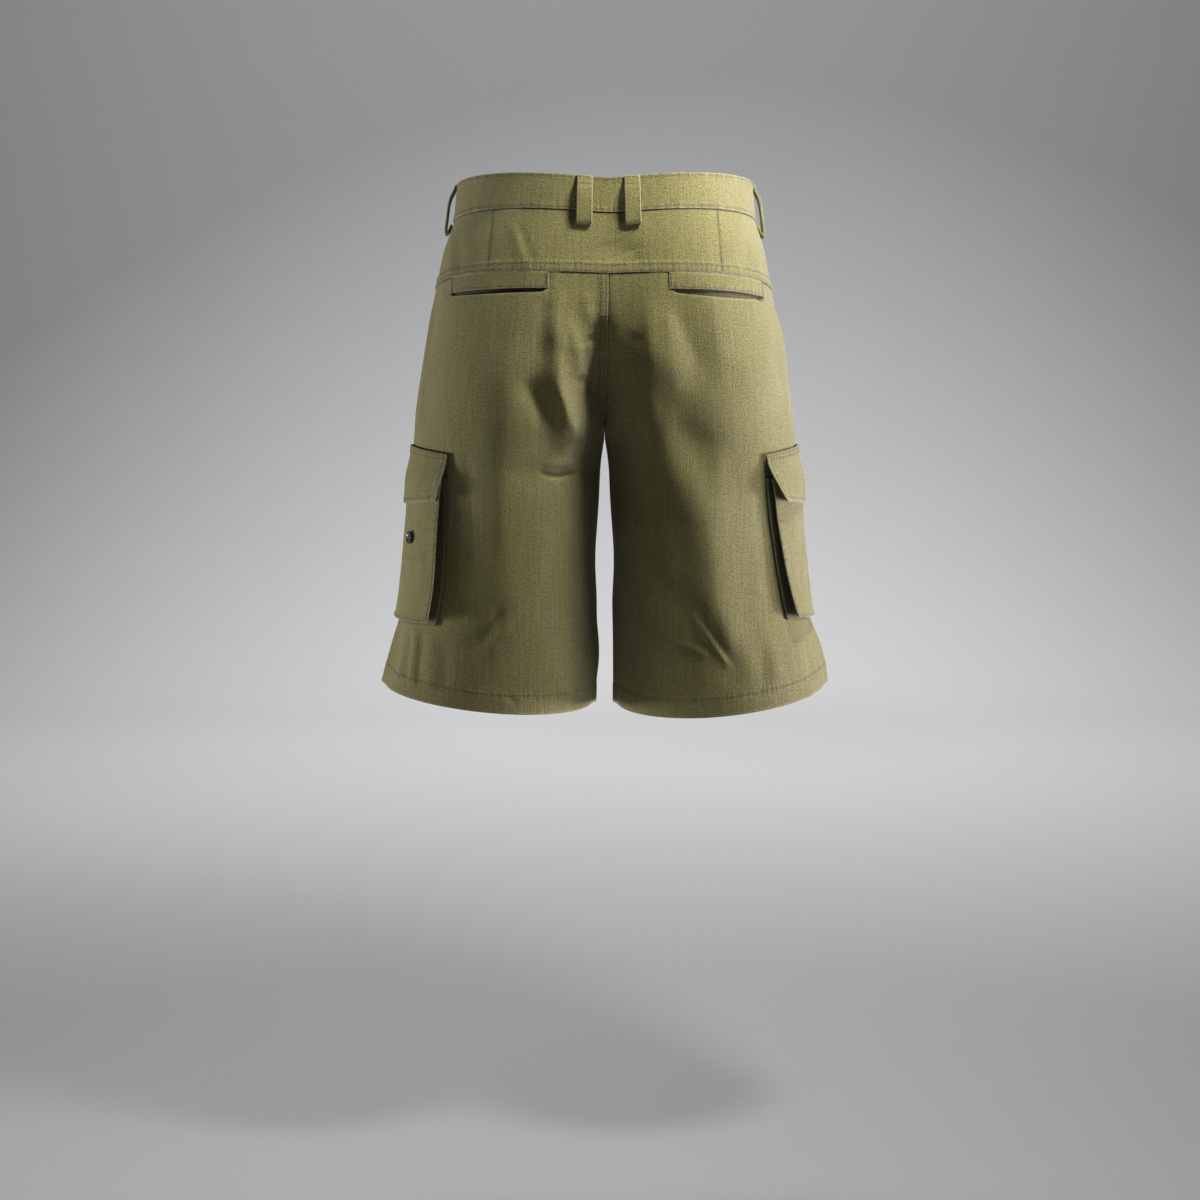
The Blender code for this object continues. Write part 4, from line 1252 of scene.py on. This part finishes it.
def declare(node, piece):
    """Let a cloth piece and its stitches ride on the body, and hide the solid that it stands for."""
    ride_with(piece)
    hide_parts(node)
    sewn = [seams[node]] if node in seams else []
    sewn += [buttonhole] if node == "waistband" else []
    for row in sewn:
        ride_with(row)


for node, sheet in sheets.items():
    declare(node, sheet)
for node, wall in walls.items():
    width = LOOP_WIDTH if node in LOOP_NODES else GUSSET_WIDTH
    length = STRIP_LENGTHS[node] * MM
    declare(node, wall)
for node, (disc, _, _) in buttons.items():
    ride_with(disc)
    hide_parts(node)
    ride_with(seams[node])
print("Pieces:", len(sheets) + len(walls) + len(buttons))

# %% [markdown]
# The finishes come next. An effect that several materials share is a node group, built once:
# the over-and-under of the weave, the uneven threads, the puckers beside seams and the fading.
# A small helper adds a node and links its inputs, so each group reads like a recipe.


# %% Helper for shader nodes
def add_node(tree, kind, inputs=None, **settings):
    """Add a node, set its properties, and link or set its inputs."""
    node = tree.nodes.new("ShaderNode" + kind)
    for key, value in settings.items():
        setattr(node, key, value)
    for key, value in (inputs or {}).items():
        if isinstance(value, bpy.types.NodeSocket):
            tree.links.new(value, node.inputs[key])
        else:
            node.inputs[key].default_value = value
    return node


def maths(tree, operation, first, second=0.0, third=0.0):
    """Return the result of one sum in a node tree."""
    return add_node(tree, "Math", {0: first, 1: second, 2: third}, operation=operation).outputs[0]


def new_group(name, inputs, outputs):
    """Return an empty node group with named inputs and outputs, and its two end nodes."""
    group = bpy.data.node_groups.new(name, "ShaderNodeTree")
    for label, kind in inputs.items():
        group.interface.new_socket(name=label, in_out="INPUT", socket_type="NodeSocket" + kind)
    for label, kind in outputs.items():
        group.interface.new_socket(name=label, in_out="OUTPUT", socket_type="NodeSocket" + kind)
    return group, group.nodes.new("NodeGroupInput").outputs, group.nodes.new("NodeGroupOutput").inputs


def noise(tree, place, scale, detail=2.0, roughness=0.5):
    """Return noise of one scale."""
    inputs = {"Vector": place, "Scale": scale, "Detail": detail, "Roughness": roughness}
    return add_node(tree, "TexNoise", inputs).outputs[0]


def stretched_noise(tree, place, scale, detail=2.0, roughness=0.5):
    """Return noise that is drawn out along one direction of the pattern."""
    spread = add_node(tree, "Mapping", {"Vector": place, "Scale": scale}).outputs[0]
    return noise(tree, spread, 1.0, detail, roughness)


def mix(tree, amount, first, second):
    """Return a colour between two others."""
    inputs = {0: amount, 6: first, 7: second}
    return add_node(tree, "Mix", inputs, data_type="RGBA", clamp_factor=True).outputs[2]


def place_on(tree):
    """Return the place on the object, in its own metres."""
    return add_node(tree, "TexCoord").outputs["Object"]


# %% [markdown]
# Canvas is a plain weave: each thread goes over one and under the next. The product of two
# sine waves is a chequerboard of rounded pillows, which is what such a weave looks like from
# near by. Real threads are also thick and thin in places, so long thin noise runs along both
# directions of the cloth and gives it the dry, mottled look that it has from further off.

# %% Node groups for the cloth
weave, given, gives = new_group(
    "plain weave",
    {"Place": "Vector", "Threads per metre": "Float"},
    {"Height": "Float", "Thread": "Float"},
)
place = add_node(weave, "SeparateXYZ", {0: given["Place"]}).outputs
waves = []
for axis in (0, 1):
    half_turns = maths(weave, "MULTIPLY", given["Threads per metre"], math.pi)
    waves.append(maths(weave, "SINE", maths(weave, "MULTIPLY", place[axis], half_turns)))
crossing = maths(weave, "MULTIPLY", *waves)
weave.links.new(maths(weave, "SQRT", maths(weave, "ABSOLUTE", crossing)), gives["Height"])
weave.links.new(maths(weave, "MULTIPLY_ADD", crossing, 0.5, 0.5), gives["Thread"])

threads, given, gives = new_group("uneven threads", {"Place": "Vector"}, {"Mottle": "Float"})
upright = stretched_noise(threads, given["Place"], (300, 20, 1), 3.0, 0.6)
level = stretched_noise(threads, given["Place"], (130, 560, 1))
specks = stretched_noise(threads, given["Place"], (600, 500, 1), 3.0, 0.8)
total = maths(threads, "MULTIPLY_ADD", upright, 0.55, maths(threads, "MULTIPLY", level, 0.45))
total = maths(threads, "MULTIPLY_ADD", specks, 2.0, total)
threads.links.new(maths(threads, "MULTIPLY", total, 1 / 3), gives["Mottle"])

puckers, given, gives = new_group(
    "seam puckers",
    {"Place": "Vector", "Level seam": "Float", "Upright seam": "Float"},
    {"Height": "Float"},
)
beside_level = stretched_noise(puckers, given["Place"], (230, 30, 1), 1.0)
beside_upright = stretched_noise(puckers, given["Place"], (30, 230, 1), 1.0)
parts = [
    maths(puckers, "MULTIPLY", maths(puckers, "SUBTRACT", ripple, 0.5), mask)
    for ripple, mask in ((beside_level, given["Level seam"]), (beside_upright, given["Upright seam"]))
]
puckers.links.new(maths(puckers, "ADD", *parts), gives["Height"])

fading, given, gives = new_group(
    "fading",
    {"Place": "Vector", "Colour": "Color", "Faded colour": "Color", "Wear": "Float"},
    {"Colour": "Color"},
)
cloudy = maths(fading, "SUBTRACT", noise(fading, given["Place"], 9.0, 4.0), 0.5)
amount = maths(fading, "ADD", maths(fading, "MULTIPLY", cloudy, 0.9), given["Wear"])
faded = mix(fading, amount, given["Colour"], given["Faded colour"])
fading.links.new(faded, gives["Colour"])
print("Node groups:", [group.name for group in bpy.data.node_groups])

# %% [markdown]
# The canvas material reads its weave from the pattern, and its wear and painted shade from the stored
# marks.
# Bumps are in real sizes: a thread stands about a tenth of a millimetre high and a pucker
# about half a millimetre. A little sheen stands for the fuzz of brushed cotton.


# %% Materials
def new_material(name, roughness, **constants):
    """Return a material, its node tree and its shader."""
    material = bpy.data.materials.new(name)
    material.use_nodes = True
    shader = material.node_tree.nodes["Principled BSDF"]
    shader.inputs["Roughness"].default_value = roughness
    for label, value in constants.items():
        shader.inputs[label.replace("_", " ")].default_value = value
    return material, material.node_tree, shader


def use_group(tree, group, inputs):
    """Place a node group in a material and return its outputs."""
    return add_node(tree, "Group", inputs, node_tree=group).outputs


def fade(tree, place, colour, faded_colour, wear):
    """Return a colour that fades with wear and in soft clouds."""
    inputs = {"Place": place, "Colour": colour, "Faded colour": faded_colour, "Wear": wear}
    return use_group(tree, fading, inputs)["Colour"]


def bump(tree, height, distance, below=None):
    """Return a normal bent by a height, on top of another bump."""
    inputs = {"Height": height, "Distance": distance, "Strength": 1.0}
    if below:
        inputs["Normal"] = below
    return add_node(tree, "Bump", inputs).outputs[0]


OLIVE, FADED_OLIVE = (0.216, 0.192, 0.063, 1.0), (0.36, 0.325, 0.18, 1.0)
THREAD_OLIVE, FADED_THREAD = (0.13, 0.11, 0.047, 1.0), (0.27, 0.24, 0.125, 1.0)
BLACK, SCUFFED_BLACK = (0.018, 0.018, 0.02, 1.0), (0.12, 0.12, 0.13, 1.0)
THREADS_PER_METRE = 1500.0
# How much painted shade darkens the canvas where a shade mark is full
SEAM_SHADE = -0.85


def make_canvas(name, colour, faded_colour):
    """Return the olive canvas, woven, mottled, puckered, worn and darkened by painted shade in seams and
    folds.
    """
    material, tree, shader = new_material(name, 0.88, Sheen_Weight=0.22, Sheen_Roughness=0.5)
    shader.inputs["Specular IOR Level"].default_value = 0.2
    shader.inputs["Sheen Tint"].default_value = (0.98, 0.98, 1.0, 1.0)
    flat = add_node(tree, "UVMap", uv_map="pattern").outputs[0]
    marks = {
        mark: add_node(tree, "Attribute", attribute_name=mark).outputs["Fac"]
        for mark in ("worn_edge", "level_seam", "upright_seam", "painted_shade_mark")
    }
    woven = use_group(tree, weave, {"Place": flat, "Threads per metre": THREADS_PER_METRE})
    mottle = use_group(tree, threads, {"Place": flat})["Mottle"]
    ripple = use_group(
        tree,
        puckers,
        {"Place": flat, "Level seam": marks["level_seam"], "Upright seam": marks["upright_seam"]},
    )["Height"]
    wear = maths(tree, "MULTIPLY", marks["worn_edge"], 0.6)
    wear = maths(tree, "ADD", wear, maths(tree, "MULTIPLY", ripple, 1.7))
    colour = fade(tree, place_on(tree), colour, faded_colour, wear)
    light = maths(tree, "MULTIPLY_ADD", mottle, 3.6, -0.8)
    light = maths(tree, "MULTIPLY", light, maths(tree, "MULTIPLY_ADD", woven["Thread"], 0.16, 0.92))
    # Painted shade: the stored shade marks darken the colour in seams, beside stitches, on darts and on
    # pieces in shade.
    painted_seam_shade = maths(tree, "MULTIPLY_ADD", marks["painted_shade_mark"], SEAM_SHADE, 1.0)
    light = maths(tree, "MULTIPLY", light, painted_seam_shade)
    grey = add_node(tree, "CombineXYZ", {0: light, 1: light, 2: light}).outputs[0]
    shaded = add_node(tree, "VectorMath", {0: colour, 1: grey}, operation="MULTIPLY")
    tree.links.new(shaded.outputs[0], shader.inputs["Base Color"])
    normal = bump(tree, ripple, 1.8 * MM)
    normal = bump(tree, mottle, 2.2 * MM, normal)
    normal = bump(tree, woven["Height"], 0.1 * MM, normal)
    tree.links.new(normal, shader.inputs["Normal"])
    return material


canvas = make_canvas("olive canvas", OLIVE, FADED_OLIVE)
print("Nodes in the canvas:", len(canvas.node_tree.nodes))


def make_thread():
    """Return the sewing thread, a little darker than the canvas, with its twist."""
    material, tree, shader = new_material("olive thread", 0.7, Sheen_Weight=0.2)
    around = place_on(tree)
    twist = noise(tree, around, 1800.0)
    wear = maths(tree, "SUBTRACT", twist, 0.4)
    colour = fade(tree, around, THREAD_OLIVE, FADED_THREAD, wear)
    tree.links.new(colour, shader.inputs["Base Color"])
    tree.links.new(bump(tree, twist, 0.1 * MM), shader.inputs["Normal"])
    return material


def make_dark_plastic():
    """Return the buttons' dark plastic, faintly clouded and scuffed."""
    material, tree, shader = new_material("dark plastic", 0.3)
    around = place_on(tree)
    scuffs = noise(tree, around, 900.0, 6.0, 0.7)
    closer = add_node(tree, "Mapping", {"Vector": around, "Scale": (30, 30, 30)}).outputs[0]
    wear = maths(tree, "MULTIPLY", maths(tree, "SUBTRACT", scuffs, 0.45), 1.2)
    colour = fade(tree, closer, BLACK, SCUFFED_BLACK, wear)
    tree.links.new(colour, shader.inputs["Base Color"])
    rough = maths(tree, "MULTIPLY_ADD", scuffs, 0.35, 0.12)
    tree.links.new(rough, shader.inputs["Roughness"])
    tree.links.new(bump(tree, scuffs, 0.03 * MM), shader.inputs["Normal"])
    return material


thread = make_thread()
dark_plastic = make_dark_plastic()
for piece in [*sheets.values(), *walls.values()]:
    piece.data.materials.append(canvas)
for piece in [*seams.values(), buttonhole]:
    piece.data.materials.append(thread)
for disc, _, _ in buttons.values():
    disc.data.materials.clear()
    disc.data.materials.append(dark_plastic)
print("Materials:", [material.name for material in (canvas, thread, dark_plastic)])

# %% [markdown]
# The stage is a pale floor that sweeps up into a backdrop far behind the garment. Two
# softboxes stand at the camera's right and a weaker one at its left, so the sides of the legs
# are bright and the hollow between them is dark. A small one above lights the seat.


# %% Floor, backdrop and lights
FLOOR = -1.02
FAR_EDGE = -4
WALL_HEIGHT = 5.0
PALE, SHADED_PAPER_GREY = (0.83, 0.83, 0.82, 1.0), (0.295, 0.298, 0.298, 1.0)


def make_stage():
    """Make a pale sweep: a floor whose far edge is drawn up into a wall, with painted light and shade on
    its paper.
    """
    bpy.ops.mesh.primitive_plane_add(size=9.0, location=(0.0, 0.0, FLOOR))
    sweep = bpy.context.object
    bpy.context.scene.tool_settings.mesh_select_mode = (False, True, False)
    for edge in sweep.data.edges:
        edge.select = all(sweep.data.vertices[v].co.y < FAR_EDGE for v in edge.vertices)
    rise = {"value": (0.0, 0.0, WALL_HEIGHT)}
    edit(
        sweep,
        lambda: bpy.ops.mesh.extrude_region_move(TRANSFORM_OT_translate=rise),
        select=None,
    )
    for edge in sweep.data.edges:
        ends = [sweep.data.vertices[v].co for v in edge.vertices]
        edge.select = all(end.y < FAR_EDGE and abs(end.z) < 0.01 for end in ends)
    edit(sweep, lambda: bpy.ops.mesh.bevel(offset=1.6, segments=16), select=None)
    bpy.context.scene.tool_settings.mesh_select_mode = (False, False, True)
    bpy.ops.object.shade_smooth()
    sweep.name = "pale_sweep"
    material, tree, shader = new_material("pale paper", 0.9)
    around = place_on(tree)
    grain = noise(tree, around, 3.0, 3.0)
    # Painted light and shade: the paper is pale near a point on the floor behind the garment and greys
    # farther away, and a painted pool of light pales it near a point on the floor in front.
    away = add_node(tree, "VectorMath", {0: around, 1: (-0.3, -2.8, -1.0)}, operation="DISTANCE")
    shade = maths(tree, "MULTIPLY_ADD", away.outputs["Value"], 0.5, -0.6)
    shade = maths(tree, "MULTIPLY_ADD", grain, 0.02, shade)
    near = add_node(tree, "VectorMath", {0: around, 1: (0.0, 0.6, -1.0)}, operation="DISTANCE")
    painted_light_pool = maths(tree, "MINIMUM", maths(tree, "MULTIPLY", near.outputs["Value"], 0.6), 1.0)
    shade = maths(tree, "MULTIPLY", shade, painted_light_pool)
    paper = mix(tree, shade, PALE, SHADED_PAPER_GREY)
    tree.links.new(paper, shader.inputs["Base Color"])
    sweep.data.materials.append(material)


def softbox(name, place, aim, size, power, colour=(1.0, 1.0, 1.0)):
    """Add a square soft light that looks at a point."""
    bpy.ops.object.light_add(type="AREA", location=place)
    light = bpy.context.object
    light.name = name
    light.data.size = size
    light.data.energy = power
    light.data.color = colour
    light.rotation_euler = (Vector(aim) - Vector(place)).to_track_quat("-Z", "Y").to_euler()


KEY_COLOUR = (1.0, 0.97, 1.14)
MIDDLE = (0.0, 0.0, -0.25)
SIDE_SIZE = 0.4
make_stage()
softbox("key", (-2.22, -0.16, -0.8), MIDDLE, SIDE_SIZE, 71, KEY_COLOUR)
softbox("back_key", (-2.17, 0.55, -0.3), MIDDLE, SIDE_SIZE, 22, KEY_COLOUR)
softbox("top", (-0.3, 0.33, 0.36), (0.0, 0.0, -0.05), 0.15, 6.2)
softbox("fill", (2.22, -0.3, -0.73), MIDDLE, SIDE_SIZE, 42)
softbox("backdrop_light", (0.0, -1.5, 2.2), (0.0, -4.4, -0.4), 1.2, 76)
world = bpy.data.worlds.new("studio air")
world.use_nodes = True
tree = world.node_tree
tree.nodes["Background"].inputs["Strength"].default_value = 0.02
tree.nodes["Background"].inputs["Color"].default_value = (0.97, 0.98, 1.0, 1.0)
bpy.context.scene.world = world
bpy.context.scene.view_settings.view_transform = "Standard"
